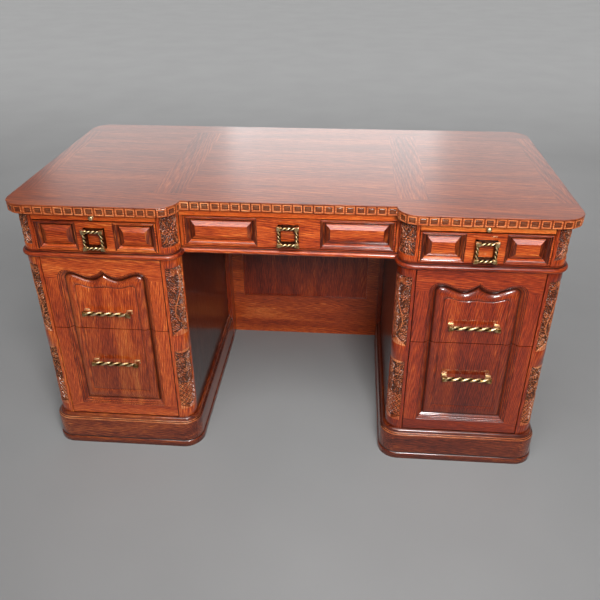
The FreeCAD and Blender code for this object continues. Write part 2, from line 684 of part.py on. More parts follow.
def right_hand_pieces():
    """Pieces of the right side; the left side is their mirror image."""
    left, right = box_ends()
    x0 = OPENING_LEFT + FRONT_GAP
    x1 = OPENING_RIGHT - FRONT_GAP
    upper, lower = make_pedestal_fronts()
    shelf_half = SHELF_THICKNESS / 2
    behind_fronts = FRONT_INSIDE + FRONT_GAP
    frieze_end = CAVITY_BACK - SPACE_BEHIND_FRIEZE_BOX
    pedestal_end = CAVITY_BACK - SPACE_BEHIND_PEDESTAL_BOX
    lower_bottom = PLINTH_HEIGHT + SHELF_THICKNESS + RUNNING_CLEARANCE
    lower_top = Z_SPLIT - shelf_half - SPACE_OVER_LOWER_BOX
    upper_bottom = Z_SPLIT + shelf_half + RUNNING_CLEARANCE
    upper_top = Z_FRIEZE - SHELF_THICKNESS - SPACE_OVER_UPPER_BOX
    return {
        "outer_side": make_outer_side(),
        "inner_side": make_inner_side(),
        "back": make_back(),
        "plinth": make_plinth(),
        "pedestal_floor": make_shelf(PLINTH_HEIGHT, behind_fronts),
        "drawer_divider": make_shelf(Z_SPLIT - shelf_half, behind_fronts),
        "frieze_floor": make_shelf(Z_FRIEZE - SHELF_THICKNESS, PILASTER_BACK),
        "waist_moulding": make_waist(),
        "inner_pilaster": make_pilaster(INNER, 1),
        "outer_pilaster": make_pilaster(OUTER, -1),
        "corner_blocks": make_corner_blocks(),
        "drawer_guides": make_guides(),
        "frieze_drawer_front": make_frieze_front(x0, x1, FRONT, SIDE_PULL_SPACE),
        "frieze_drawer_box": make_box(left, right, FRONT_INSIDE, frieze_end, FRIEZE_BOX_BOTTOM,
                                      FRIEZE_BOX_TOP),
        "frieze_drawer_pull": make_square_pull(MIDDLE, FRONT),
        "upper_drawer_front": upper,
        "upper_drawer_box": make_box(left, right, FRONT_INSIDE, pedestal_end, upper_bottom,
                                     upper_top),
        "upper_drawer_pull": make_bar_pull(Z_SPLIT + UPPER_PULL_RISE),
        "lower_drawer_front": lower,
        "lower_drawer_box": make_box(left, right, FRONT_INSIDE, pedestal_end, lower_bottom,
                                     lower_top),
        "lower_drawer_pull": make_bar_pull(Z_SPLIT - LOWER_PULL_DROP),
        "writing_slide": make_slide(),
        "slide_knob": make_knob(),
    }


def centre_pieces():
    panel, border = make_top()
    frame, modesty = make_modesty()
    half = INNER - CENTRE_STILE - FRONT_GAP
    side = centre_box_side()
    inside = CENTRE_FRONT + FRONT_THICKNESS
    box_end = MODESTY_FRONT - SPACE_BEHIND_CENTRE_BOX
    return {
        "top_panel": panel,
        "top_border": border,
        "rear_posts": make_rear_posts(),
        "centre_top_rail": make_centre_top_rail(),
        "centre_bottom_rail": make_centre_bottom_rail(),
        "centre_stiles": make_centre_stiles(),
        "centre_runners": make_centre_runners(),
        "kneehole_posts": make_kneehole_posts(),
        "modesty_frame": frame,
        "modesty_panel": modesty,
        "centre_drawer_front": make_frieze_front(-half, half, CENTRE_FRONT, CENTRE_PULL_SPACE),
        "centre_drawer_box": make_box(-side, side, inside, box_end, FRIEZE_BOX_BOTTOM,
                                      FRIEZE_BOX_TOP),
        "centre_drawer_pull": make_square_pull(0, CENTRE_FRONT),
    }


def main():
    nodes = centre_pieces()
    for name, shape in right_hand_pieces().items():
        nodes["right_" + name] = shape
        nodes["left_" + name] = mirrored(shape)
    os.makedirs("parts", exist_ok=True)
    for name, shape in nodes.items():
        shape.exportStep("parts/" + name + ".step")


main()
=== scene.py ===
import math

import bmesh
import bpy
import numpy as np
from bmesh.types import BMEdge, BMFace, BMVert
from mathutils import Matrix, Vector


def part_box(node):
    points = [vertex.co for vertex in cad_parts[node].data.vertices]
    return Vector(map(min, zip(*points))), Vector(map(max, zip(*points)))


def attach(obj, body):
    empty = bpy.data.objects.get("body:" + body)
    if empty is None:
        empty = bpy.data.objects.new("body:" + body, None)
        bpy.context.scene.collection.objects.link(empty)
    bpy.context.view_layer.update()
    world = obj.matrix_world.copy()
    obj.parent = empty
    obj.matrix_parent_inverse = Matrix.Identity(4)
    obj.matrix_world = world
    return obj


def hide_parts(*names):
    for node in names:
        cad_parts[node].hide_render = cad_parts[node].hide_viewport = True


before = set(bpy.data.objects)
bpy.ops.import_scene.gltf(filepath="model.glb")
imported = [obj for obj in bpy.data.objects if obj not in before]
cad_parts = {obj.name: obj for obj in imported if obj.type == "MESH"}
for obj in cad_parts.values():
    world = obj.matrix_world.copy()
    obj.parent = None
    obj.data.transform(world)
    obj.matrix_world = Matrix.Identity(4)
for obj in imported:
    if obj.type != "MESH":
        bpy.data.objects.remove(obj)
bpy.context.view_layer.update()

MM = 0.001
TOUCH = 1e-6
WELD_REACH = 0.01 * MM
SIDES = (("left", -1), ("right", 1))

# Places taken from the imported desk
TOP_LO, TOP_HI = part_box("top_border")
VENEER_LO, VENEER_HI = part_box("top_panel")
POST_LO, POST_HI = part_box("right_inner_pilaster")
OUTER_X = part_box("right_outer_pilaster")[1].x
INNER_X = POST_LO.x
FRONT_Y = POST_LO.y
BACK_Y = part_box("right_back")[1].y
PLINTH_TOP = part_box("right_plinth")[1].z
RAIL_LO, RAIL_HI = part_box("centre_bottom_rail")
MODESTY_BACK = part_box("modesty_frame")[1].y
KNEE_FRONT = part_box("kneehole_posts")[0].y

# Top and its carved edge
TOP_CORNER = 58 * MM
BREAK_ROUND = 52 * MM
BREAK_X = 276 * MM
BREAK_STEP = 56 * MM
EDGE_SINK = 3 * MM
LIP = 3 * MM
SQUARE_PITCH = 26.5 * MM
SQUARE_GROOVE = 3 * MM
SQUARE_FOOT = 0.6 * MM
SQUARE_HEAD = 1 * MM
SQUARE_BITE = 0.1 * MM
CROSS_BAND = (276 * MM, 360 * MM)

# Pedestal corners and carved lengths
CORNER_ROUND = 40 * MM
CARVING_DEPTH = 5 * MM
CARVING_EDGE = 2 * MM
CARVING_SINK = 0.6 * MM
CARVING_HALF = 25.4
UPPER_CARVING = (394 * MM, 608 * MM)
LOWER_CARVING = (132 * MM, 342 * MM)
BLOCK_CARVING = (669 * MM, 754 * MM)
CARVING_GRAIN = 0.65 * MM

# Mouldings
WAIST_NECK, WAIST_BEAD = 2, 7
WAIST_BITE = 0.5 * MM
WAIST_TONE = 0.1
PLINTH_BEAD = 1.7
PLINTH_ROUND = 8.6
PLINTH_INSIDE = 34

# Drawer fronts
FRONT_BOARD = 22 * MM
EASED_EDGE = 1.4 * MM
# Painted shade on the eased edge of each front, down into the gap beside it
RIM_SHADE = 0.9
SPLIT_EASE = 0.5 * MM
SPLIT_DEPTH = 3 * MM
PANEL_MARGIN = 4 * MM
PANEL_INSET = 1 * MM
SIDE_PULL_SPACE = 98 * MM
CENTRE_PULL_SPACE = 166 * MM

# Pulls
PULL_SIZE = 56 * MM
PULL_BAR = 9 * MM
RING_SHARE = 0.95
RING_TURNS = 2.0
CORNER_POINT = 1.6 * MM
BAR_HALF = 6.4 * MM
BAR_TURNS = 2.3
BAR_BLOCK = 14 * MM
BLOCK_HALF = 6.8 * MM
POST_HALF = 5 * MM
FLAT_SHARE = 0.62
WALL_HALF = 4.2 * MM
PULL_DROP = 3 * MM
PULL_BEVEL = 0.6 * MM
FIELD_SINK = 3.3 * MM

ROUND_STEPS = 12
TWIST_STEPS = 56

# Layer that darkens the wood and brass: painted shade in hollows, grooves, gaps and at the feet of
# mouldings, together with the glaze, dirt and brass patina that gather there
SHADE_AND_GLAZE = "shade_and_glaze"


# Materials

def linear(code):
    """sRGB hex to the linear colour that Blender's sockets take."""
    channels = [int(code[i:i + 2], 16) / 255 for i in (1, 3, 5)]
    return [c / 12.92 if c <= 0.04045 else ((c + 0.055) / 1.055) ** 2.4 for c in channels] + [1]


def add(tree, kind, inputs=None, stops=None, **settings):
    """One node: its settings, its input values or links by socket, and its colour stops."""
    node = tree.nodes.new(kind)
    for name, value in settings.items():
        setattr(node, name, value)
    for socket, value in (inputs or {}).items():
        if isinstance(value, bpy.types.NodeSocket):
            tree.links.new(value, node.inputs[socket])
        else:
            node.inputs[socket].default_value = value
    if stops:
        ramp = node.color_ramp.elements
        while len(ramp) < len(stops):
            ramp.new(0.5)
        for element, (place, code) in zip(ramp, stops):
            element.position = place
            element.color = linear(code)
    return node


def new_material(name):
    material = bpy.data.materials.new(name)
    material.use_nodes = True
    material.node_tree.nodes.clear()
    return material, material.node_tree


def maths(tree, operation, *values):
    return add(tree, "ShaderNodeMath", dict(enumerate(values)), operation=operation).outputs[0]


def noise(tree, vector, size, detail, rough=0.5, warp=0.0):
    return add(tree, "ShaderNodeTexNoise", {
        "Vector": vector, "Scale": 1 / size, "Detail": detail, "Roughness": rough,
        "Distortion": warp}).outputs["Fac"]


def remap(tree, value, low, high, to_low, to_high):
    return add(tree, "ShaderNodeMapRange", {
        "Value": value, "From Min": low, "From Max": high, "To Min": to_low,
        "To Max": to_high}).outputs["Result"]


# Layer of painted shade and glaze, as the materials read it
def painted_shade_and_glaze(tree):
    return add(tree, "ShaderNodeAttribute", attribute_name=SHADE_AND_GLAZE).outputs["Fac"]


def object_place(tree):
    return add(tree, "ShaderNodeTexCoord").outputs["Object"]


def join_surface(tree, inputs):
    surface = add(tree, "ShaderNodeBsdfPrincipled", inputs)
    add(tree, "ShaderNodeOutputMaterial", {"Surface": surface.outputs["BSDF"]})


# Sizes of the patterns, and the dark colour of the painted shade and glaze in hollows of the wood
STREAK_SIZE = 2.6 * MM
CLOUD_SIZE = 42 * MM
PORE_SIZE = 1 * MM
BLOTCH_SIZE = 9 * MM
FLOOR_CLOUD_SIZE = 400 * MM
HOLLOW_SHADE_COLOUR = "#260d07"


def wood_surface(tree, along, stops, growth_mm, coat, coat_rough, rough):
    """Growth lines, streaks and pores along the X of a stretched vector, under clear lacquer."""
    growth = add(tree, "ShaderNodeTexWave", {
        "Vector": along, "Scale": math.pi / 5 / (growth_mm * MM), "Distortion": 22.0,
        "Detail": 3.0, "Detail Scale": 0.2, "Detail Roughness": 0.6,
    }, wave_type="BANDS", bands_direction="DIAGONAL").outputs["Fac"]
    streak = noise(tree, along, STREAK_SIZE, 4.0, 0.6, 0.2)
    cloud = noise(tree, along, CLOUD_SIZE, 2.5, 0.55, 0.6)
    pore = noise(tree, along, PORE_SIZE, 2.0, 0.7)
    figure = -0.35
    for layer, weight in ((growth, 0.2), (streak, 0.8), (cloud, 0.66)):
        figure = maths(tree, "MULTIPLY_ADD", layer, weight, figure)
    stain = add(tree, "ShaderNodeValToRGB", {"Fac": figure}, stops)
    pored = add(tree, "ShaderNodeMix", {
        "Factor": 1.0, "A": stain.outputs["Color"], "B": remap(tree, pore, 0.36, 0.48, 0.6, 1.0)},
        data_type="RGBA", blend_type="MULTIPLY")
    # Painted shade: the wood turns to the dark hollow colour where the shade-and-glaze layer is
    # high
    shade_and_glaze_mixed = add(tree, "ShaderNodeMix", {
        "Factor": painted_shade_and_glaze(tree), "A": pored.outputs["Result"], "B": linear(HOLLOW_SHADE_COLOUR)},
        data_type="RGBA")
    relief = add(tree, "ShaderNodeBump", {"Height": pore, "Strength": 0.06, "Distance": 0.2 * MM})
    join_surface(tree, {
        "Base Color": shade_and_glaze_mixed.outputs["Result"],
        "Roughness": remap(tree, streak, 0.3, 0.7, rough + 0.06, rough - 0.04),
        "IOR": 1.5, "Specular IOR Level": 0.25, "Normal": relief.outputs["Normal"],
        "Coat Weight": coat, "Coat Roughness": coat_rough, "Coat IOR": 1.5})


# Grain by its direction: the scale that stretches the pattern and the turn that lays it along X
LENGTHWISE = 0.09
GRAIN = {
    "level": ((LENGTHWISE, 1, 1), (0, 0, 0)),
    "upright": ((1, 1, LENGTHWISE), (0, math.pi / 2, 0)),
    "crosswise": ((1, LENGTHWISE, 1), (0, 0, math.pi / 2)),
}

# Stains from their dark lines to their light ones
STAIN = {
    "honey": ((0.14, "#ac461a"), (0.38, "#e06a28"), (0.6, "#fa8c3e"), (0.86, "#ffb86c")),
    "amber": ((0.14, "#7c250c"), (0.38, "#c44a17"), (0.6, "#ea6c26"), (0.86, "#ffa04c")),
    "chestnut": ((0.14, "#4c1206"), (0.38, "#94310f"), (0.6, "#c8571f"), (0.86, "#f09246")),
    "auburn": ((0.14, "#3c0c05"), (0.38, "#741f09"), (0.6, "#a03810"), (0.86, "#cc662a")),
    "umber": ((0.22, "#2c0b06"), (0.42, "#5c1e0d"), (0.6, "#863817"), (0.82, "#c46a2c")),
    "walnut": ((0.14, "#150504"), (0.38, "#2c0e08"), (0.6, "#42190d"), (0.86, "#5e2d17")),
    "russet": ((0.14, "#581f0a"), (0.38, "#762e0f"), (0.6, "#984316"), (0.86, "#ba672c")),
    "rubbed": ((0.14, "#7c2c12"), (0.38, "#b04e26"), (0.6, "#da7e4a"), (0.86, "#f6b47c")),
    "worn": ((0.14, "#8a3617"), (0.38, "#bb5a2c"), (0.6, "#de8450"), (0.86, "#f6b888")),
}

# Roughness of the lacquer from which a finish is called satin
SATIN_FROM = 0.2


def stretched(tree, vector, grain):
    scale, turn = GRAIN[grain]
    return add(tree, "ShaderNodeMapping", {
        "Vector": vector, "Scale": scale, "Rotation": turn}).outputs["Vector"]


def lacquered_wood(grain, stain, coat=0.9, coat_rough=0.07):
    """Stained hardwood under gloss or satin lacquer: dark growth lines and pores below a shine."""
    finish = "satin" if coat_rough > SATIN_FROM else "gloss"
    material, tree = new_material("_".join((finish, "lacquered_wood", grain, stain)))
    along = stretched(tree, object_place(tree), grain)
    wood_surface(tree, along, STAIN[stain], 5, coat, coat_rough, rough=0.36)
    return material


def top_veneer():
    """Satin lacquered veneer in bands: the ends and two cross bands run front to back."""
    material, tree = new_material("lacquered_top_veneer")
    axis = add(tree, "ShaderNodeSeparateXYZ", {0: object_place(tree)}).outputs
    across = maths(tree, "ABSOLUTE", axis["X"])

    def within(value, low, high):
        return maths(tree, "MULTIPLY", maths(tree, "GREATER_THAN", value, low),
                     maths(tree, "LESS_THAN", value, high))
    ends = maths(tree, "GREATER_THAN", across, VENEER_HI.x)
    banded = maths(tree, "MAXIMUM", ends, within(across, *CROSS_BAND))
    inside = within(axis["Y"], VENEER_LO.y, VENEER_HI.y)
    straight, turned = (
        add(tree, "ShaderNodeCombineXYZ", {"X": axis[x], "Y": axis[y], "Z": inside}).outputs[0]
        for x, y in ("XY", "YX"))
    laid = add(tree, "ShaderNodeMix", {
        "Factor": maths(tree, "MULTIPLY", banded, inside), 4: straight, 5: turned},
        data_type="VECTOR")
    along = stretched(tree, laid.outputs[1], "level")
    wood_surface(tree, along, STAIN["russet"], 12, coat=0.8, coat_rough=0.3, rough=0.4)
    return material


def aged_brass():
    """Cast brass: brown patina in the hollows and painted shade on the ring pulls' walls, rubbed
    yellow and bright on the ridges.
    """
    material, tree = new_material("aged_cast_brass")
    blotch = noise(tree, object_place(tree), BLOTCH_SIZE, 4.0, 0.6)
    worn = maths(tree, "MULTIPLY_ADD", painted_shade_and_glaze(tree), -0.55, blotch)
    tone = add(tree, "ShaderNodeValToRGB", {"Fac": worn},
               ((0.0, "#2c1e10"), (0.24, "#a68048"), (0.5, "#f8deae")))
    cast = add(tree, "ShaderNodeBump", {"Height": blotch, "Strength": 0.15, "Distance": 0.4 * MM})
    join_surface(tree, {
        "Base Color": tone.outputs["Color"], "Metallic": 1.0,
        "Roughness": remap(tree, blotch, 0.3, 0.7, 0.5, 0.36), "Normal": cast.outputs["Normal"]})
    return material


def sanded_wood():
    """Plain sanded poplar for what is hidden behind the fronts: pale, matt, faintly streaked."""
    material, tree = new_material("sanded_poplar")
    along = stretched(tree, object_place(tree), "crosswise")
    stops = ((0.1, "#7d5733"), (0.5, "#a67c4e"), (0.9, "#c29a68"))
    wood_surface(tree, along, stops, 9, coat=0.0, coat_rough=0.3, rough=0.6)
    return material


def studio_floor():
    """Matt painted board: pale grey with a trace of cloudiness."""
    material, tree = new_material("matt_painted_floor")
    cloud = noise(tree, object_place(tree), FLOOR_CLOUD_SIZE, 2.0)
    tone = add(tree, "ShaderNodeValToRGB", {"Fac": cloud}, ((0.3, "#8e8e8e"), (0.7, "#929292")))
    join_surface(tree, {"Base Color": tone.outputs["Color"], "Roughness": 0.8})
    return material


# Finishes: direction of the grain and stain, then weight and roughness of the lacquer
LEVEL = lacquered_wood("level", "chestnut")
UPRIGHT = lacquered_wood("upright", "chestnut")
DOOR = {
    "left": (UPRIGHT, LEVEL),
    "right": (lacquered_wood("upright", "auburn"), lacquered_wood("level", "auburn")),
}
CARVED = lacquered_wood("upright", "rubbed", 0.65, 0.14)
# Edge squares and plinth beads: a lighter stain, partly wear and partly painted light, against the
# shade under the top's lip and as the highlights along the plinth beads
EDGE_WEAR_AND_PAINTED_LIGHT = lacquered_wood("level", "worn")
# Darker umber stain: on the frieze panels' side facets it is painted shade
FRIEZE_SHADED_SIDES = lacquered_wood("upright", "umber")
# Plinth: the darker umber stain is partly the wood's colour and partly painted shade low down and
# inside the kneehole
PLINTH_FRONT = lacquered_wood("level", "umber")
PLINTH_SIDE = lacquered_wood("crosswise", "umber", 1.0, 0.3)
# Inside the kneehole: the darkest walnut stain, painted shade as well as the wood's colour
SHADED = lacquered_wood("upright", "walnut", 0.55, 0.12)
MODESTY_FIELD = lacquered_wood("upright", "auburn", 0.7, 0.28)
WAIST_FRONT = lacquered_wood("level", "auburn", 0.6, 0.26)
WAIST_SIDE = lacquered_wood("crosswise", "auburn", 0.6, 0.26)
MODESTY_RAIL = lacquered_wood("level", "chestnut", 0.9, 0.3)
# Slides and centre top rail: lighter stains as painted light against the shade under the top's
# overhang; the right slide's lightest stain also paints its highlight
SLIDE_PAINTED_LIGHT = {
    "left": lacquered_wood("level", "amber"),
    "right": lacquered_wood("level", "honey"),
}
VENEER = top_veneer()
BRASS = aged_brass()
SANDED = sanded_wood()


# Mesh helpers

def start_mesh():
    """Empty bmesh and its layer of painted shade and glaze."""
    bm = bmesh.new()
    return bm, bm.verts.layers.float.new(SHADE_AND_GLAZE)


def darken(verts, shade_and_glaze, dark):
    for vert in verts:
        vert[shade_and_glaze] = dark


def only(kind, geometry):
    return [item for item in geometry if isinstance(item, kind)]


def verts_of(faces):
    return list({vert for face in faces for vert in face.verts})


def open_edges(bm):
    return [edge for edge in bm.edges if edge.is_boundary]


def twin(vert, fresh):
    """The new vert that an extrusion joins to an old one."""
    return next(e.other_vert(vert) for e in vert.link_edges if e.other_vert(vert) in fresh)


def extrude_faces(bm, faces, move):
    grown = bmesh.ops.extrude_face_region(bm, geom=faces)["geom"]
    bmesh.ops.translate(bm, verts=only(BMVert, grown), vec=move)


def cut_across(bm, place, normal, **cleared):
    """Cuts the whole mesh along a plane, and clears one side of it where that is asked."""
    everything = bm.verts[:] + bm.edges[:] + bm.faces[:]
    bmesh.ops.bisect_plane(bm, geom=everything, plane_co=place, plane_no=normal, **cleared)


def step_inwards(bm, face, steps, shade_and_glaze):
    """Insets a face by steps: inset and rise of each in millimetres, then its painted shade and
    glaze.
    """
    for inset, rise, dark in steps:
        bmesh.ops.inset_individual(bm, faces=[face], thickness=inset * MM, depth=rise * MM)
        darken(face.verts, shade_and_glaze, dark)


def add_block(bm, lo, hi):
    """Box between two corners; returns its faces."""
    lo, hi = Vector(lo), Vector(hi)
    place = Matrix.Translation((lo + hi) / 2) @ Matrix.Diagonal((*(hi - lo), 1))
    made = bmesh.ops.create_cube(bm, size=1, matrix=place)
    return list({face for vert in made["verts"] for face in vert.link_faces})


def rounded_path(corners):
    """Plan points along an open line of square corners, each rounded by its own radius."""
    points = []
    for index, (x, y, radius) in enumerate(corners):
        here = Vector((x, y))
        if radius == 0:
            points.append(here)
            continue
        back = (Vector(corners[index - 1][:2]) - here).normalized()
        onward = (Vector(corners[index + 1][:2]) - here).normalized()
        centre = here + (back + onward) * radius
        for step in range(ROUND_STEPS + 1):
            turn = math.pi / 2 * step / ROUND_STEPS
            points.append(centre - (onward * math.cos(turn) + back * math.sin(turn)) * radius)
    return points


def chain_edges(bm, verts, closed):
    """Edges between verts in their order, made where they are missing."""
    pairs = list(zip(verts, verts[1:]))
    if closed:
        pairs.append((verts[-1], verts[0]))
    return [bm.edges.get(pair) or bm.edges.new(pair) for pair in pairs]


def grow_chain(bm, verts, points, closed):
    """Extrudes a chain of edges to new points; returns the new verts in the same order."""
    made = bmesh.ops.extrude_edge_only(bm, edges=chain_edges(bm, verts, closed))["geom"]
    fresh = set(only(BMVert, made))
    grown = [twin(vert, fresh) for vert in verts]
    for vert, point in zip(grown, points):
        vert.co = point
    return grown


def draw_moulding(bm, corners_at, profile, shade_and_glaze):
    """Moulding along an open plan line: its closed section is (projection, height, painted shade
    and glaze).
    """
    first = chain = None
    for out, height, dark in profile:
        points = [(p.x, p.y, height) for p in rounded_path(corners_at(out))]
        if chain:
            chain = grow_chain(bm, chain, points, False)
        else:
            first = chain = [bm.verts.new(point) for point in points]
        darken(chain, shade_and_glaze, dark)
    ends = chain_edges(bm, chain, False) + chain_edges(bm, first, False)
    bmesh.ops.bridge_loops(bm, edges=ends)
    bmesh.ops.holes_fill(bm, edges=open_edges(bm))


def grain_by_facing(bm):
    """Second material where a moulding faces sideways, so that its grain follows its length."""
    bm.normal_update()
    for face in bm.faces:
        face.material_index = int(abs(face.normal.x) > abs(face.normal.y) + 0.2)


def link(name, data):
    """New object of the scene from a mesh, light or camera."""
    made = bpy.data.objects.new(name, data)
    bpy.context.scene.collection.objects.link(made)
    return made


def ease_edges(made, width, angle):
    soft = made.modifiers.new("eased_edges", "BEVEL")
    soft.width = width
    soft.segments = 2
    soft.limit_method = "ANGLE"
    soft.angle_limit = math.radians(angle)


def mesh_from(name, bm, materials):
    mesh = bpy.data.meshes.new(name)
    bm.to_mesh(mesh)
    bm.free()
    for material in materials:
        mesh.materials.append(material)
    return mesh


def make_piece(name, bm, materials, replaces=(), body="carcass", sharp=40,
               bevel=0.0):
    """Turns a bmesh into an object that rides on its body and stands for its CAD nodes."""
    bmesh.ops.recalc_face_normals(bm, faces=bm.faces)
    mesh = mesh_from(name, bm, materials)
    mesh.shade_smooth()
    mesh.set_sharp_from_angle(angle=math.radians(sharp))
    made = link(name, mesh)
    if bevel:
        ease_edges(made, bevel, sharp)
    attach(made, body)
    if replaces:
        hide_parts(*replaces)


# Carved edge of the top

def top_corners(out):
    """Plan of the top from the right-hand break, round the back, to the left-hand one."""
    front, back, side = TOP_LO.y - out, TOP_HI.y + out, TOP_HI.x + out
    near = front + BREAK_STEP
    inner = BREAK_X - out
    corner, inside = TOP_CORNER + out, BREAK_ROUND + out
    return [
        (inner, near, 0), (inner, front, inside), (side, front, corner), (side, back, corner),
        (-side, back, corner), (-side, front, corner), (-inner, front, inside), (-inner, near, 0),
    ]


# Carved square from its rim inwards, as step_inwards takes it
SQUARE_STEPS = (
    (0.6, 2.4, 0.2), (2.2, 0.4, 0.0), (2.2, -0.4, 0.0), (0.7, -2.4, 0.9), (1.0, 0.0, 1.0),
    (0.9, 1.2, 0.9), (1.0, 0.4, 0.75),
)


def carve_square(width, height):
    """One carved square, flat in X and Z: a frame round a sunk ground with a rosette boss."""
    bm, shade_and_glaze = start_mesh()
    verts = bmesh.ops.create_grid(bm, x_segments=1, y_segments=1, size=0.5)["verts"]
    bmesh.ops.scale(bm, verts=verts, vec=(width, height, 1))
    bmesh.ops.rotate(bm, verts=verts, matrix=Matrix.Rotation(math.pi / 2, 3, "X"))
    # Painted shade: the outer edge in the groove between squares is fully dark, and SQUARE_STEPS
    # darken the sunk ground
    darken(verts, shade_and_glaze, 1.0)
    step_inwards(bm, verts[0].link_faces[0], SQUARE_STEPS, shade_and_glaze)
    return bm


def make_edge_squares():
    bm = start_mesh()[0]
    height = TOP_HI.z - LIP - SQUARE_HEAD - SQUARE_FOOT - TOP_LO.z
    middle = TOP_LO.z + SQUARE_FOOT + height / 2
    ends_and_sides = top_corners(-EDGE_SINK)
    break_x, break_y = ends_and_sides[0][:2]
    centre = [(-break_x, break_y, 0), (break_x, break_y, 0)]
    for run in (ends_and_sides, centre):
        plan = rounded_path(run)
        lengths = [(b - a).length for a, b in zip(plan, plan[1:])]
        count = round(sum(lengths) / SQUARE_PITCH)
        pitch = sum(lengths) / count
        for index in range(count):
            single = carve_square(pitch - SQUARE_GROOVE, height)
            for vert in single.verts:
                place, outward = along_plan(plan, lengths, pitch * (index + 0.5) - vert.co.x)
                reach = place - outward * (vert.co.y + SQUARE_BITE)
                vert.co = (reach.x, reach.y, middle + vert.co.z)
            merge(bm, single)
    make_piece("top_edge_squares", bm, [EDGE_WEAR_AND_PAINTED_LIGHT], sharp=30)


def along_plan(plan, lengths, distance):
    """Point and outward direction at a distance along plan points that run anticlockwise."""
    for start, end, length in zip(plan, plan[1:], lengths):
        if distance <= length or end == plan[-1]:
            ahead = (end - start).normalized()
            return start + ahead * distance, Vector((ahead.y, -ahead.x))
        distance -= length


# Mouldings of the pedestals

def pedestal_corners(sign, start_y, end_y):
    """Open plan line of a pedestal, from its kneehole side round the front to the back."""
    def corners_at(out):
        inner, outer = INNER_X - out, OUTER_X + out
        front, back = FRONT_Y - out, BACK_Y + out
        corner = max(CORNER_ROUND + out, 0)
        line = [(inner, start_y, 0), (inner, front, corner), (outer, front, corner),
                (outer, back, corner), (inner, back, 0), (inner, end_y, 0)]
        return [(sign * x, y, radius) for x, y, radius in line]
    return corners_at


def half_round(neck, radius, height, steps, hollow_shade):
    """Bead from its lower to its upper edge, with painted shade where it meets what it stands on.
    """
    section = []
    for step in range(steps + 1):
        turn = math.pi * (step / steps - 0.5)
        dark = hollow_shade * (1 - math.cos(turn)) ** 2
        section.append((neck + radius * math.cos(turn), height + radius * math.sin(turn), dark))
    return section


def waist_section(low, high, tone):
    """Bead with a fillet over it, darkened evenly by tone, with painted shade in its corners."""
    foot = low / MM
    section = half_round(WAIST_NECK, WAIST_BEAD, foot + WAIST_BEAD, 14, 0.9)
    section += [(1.0, foot + 14.6, 0.9), (1.0, foot + 16.2, 0.4), (1.0, high / MM, 0.3)]
    return [(out * MM, z * MM, min(tone + dark, 1)) for out, z, dark in section]


def make_waist(side, sign):
    node = side + "_waist_moulding"
    lo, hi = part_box(node)
    bm, shade_and_glaze = start_mesh()
    plan = rounded_path(pedestal_corners(sign, BACK_Y, BACK_Y)(0))[1:-1]
    ring = chain_edges(bm, [bm.verts.new((p.x, p.y, lo.z)) for p in plan], True)
    slab = bmesh.ops.contextual_create(bm, geom=ring)["faces"]
    extrude_faces(bm, slab, (0, 0, hi.z - lo.z))
    cut_across(bm, (0, POST_HI.y, 0), (0, 1, 0), clear_outer=True)
    bmesh.ops.holes_fill(bm, edges=open_edges(bm))
    section = waist_section(lo.z, hi.z, WAIST_TONE)
    section += [(-WAIST_BITE, hi.z, 0.2), (-WAIST_BITE, lo.z, 0.2)]
    draw_moulding(bm, pedestal_corners(sign, RAIL_LO.y, MODESTY_BACK), section, shade_and_glaze)
    grain_by_facing(bm)
    make_piece(node + "_bead", bm, [WAIST_FRONT, WAIST_SIDE], [node])


def make_centre_rail():
    bm, shade_and_glaze = start_mesh()
    front = RAIL_LO.y + (WAIST_NECK + WAIST_BEAD) * MM
    section = [(front - out, z, dark) for out, z, dark in waist_section(RAIL_LO.z, RAIL_HI.z, 0)]
    section += [(RAIL_HI.y, RAIL_HI.z, 0), (RAIL_HI.y, RAIL_LO.z, 0)]
    verts = [bm.verts.new((RAIL_LO.x, y, z)) for y, z, dark in section]
    for vert, (y, z, dark) in zip(verts, section):
        vert[shade_and_glaze] = dark
    end = bmesh.ops.contextual_create(bm, geom=chain_edges(bm, verts, True))["faces"]
    extrude_faces(bm, end, (RAIL_HI.x - RAIL_LO.x, 0, 0))
    make_piece("centre_waist_rail", bm, [LEVEL], ["centre_bottom_rail"])


# Shoe of the plinth from the floor up: projection and height in millimetres, then its painted
# shade and glaze, darkest at the floor and in the groove
SHOE_SECTION = [
    (18, 0, 0.6), (18, 13, 0.2), (17.2, 16.6, 0.0), (15.6, 18.2, 0.1), (14.4, 19.2, 0.95),
    (14.4, 21.4, 0.95), (15, 22.6, 0.3), (15, 26, 0.0),
]


def make_plinth(side, sign):
    node = side + "_plinth"
    bm, shade_and_glaze = start_mesh()
    height = PLINTH_TOP / MM
    section = SHOE_SECTION + [(15, height - 19, 0.0), (14.6, height - 17.2, 0.3)]
    section += half_round(12.4, PLINTH_BEAD, height - 14.8, 6, 1.0)
    section += half_round(9.6, PLINTH_BEAD, height - 11, 6, 1.0)
    for step in range(9):
        turn = math.pi / 2 * step / 8
        rise = PLINTH_ROUND * math.sin(turn)
        dark = 0.6 if step == 8 else 0.1
        section.append((PLINTH_ROUND * math.cos(turn), height - PLINTH_ROUND + rise, dark))
    section += [(-PLINTH_INSIDE, height, 0.6), (-PLINTH_INSIDE, 0, 0.6)]
    section = [(out * MM, z * MM, dark) for out, z, dark in section]
    draw_moulding(bm, pedestal_corners(sign, KNEE_FRONT, MODESTY_BACK), section, shade_and_glaze)
    grain_by_facing(bm)
    # Bead faces take the lighter worn stain: wear on the beads and a painted highlight along them
    for face in bm.faces:
        beaded = height - 17 < face.calc_center_median().z / MM < height - 9
        face.material_index += 2 * beaded
    finish = [PLINTH_FRONT, PLINTH_SIDE, EDGE_WEAR_AND_PAINTED_LIGHT, PLINTH_SIDE]
    make_piece(node + "_moulding", bm, finish, [node])


# Drawer fronts

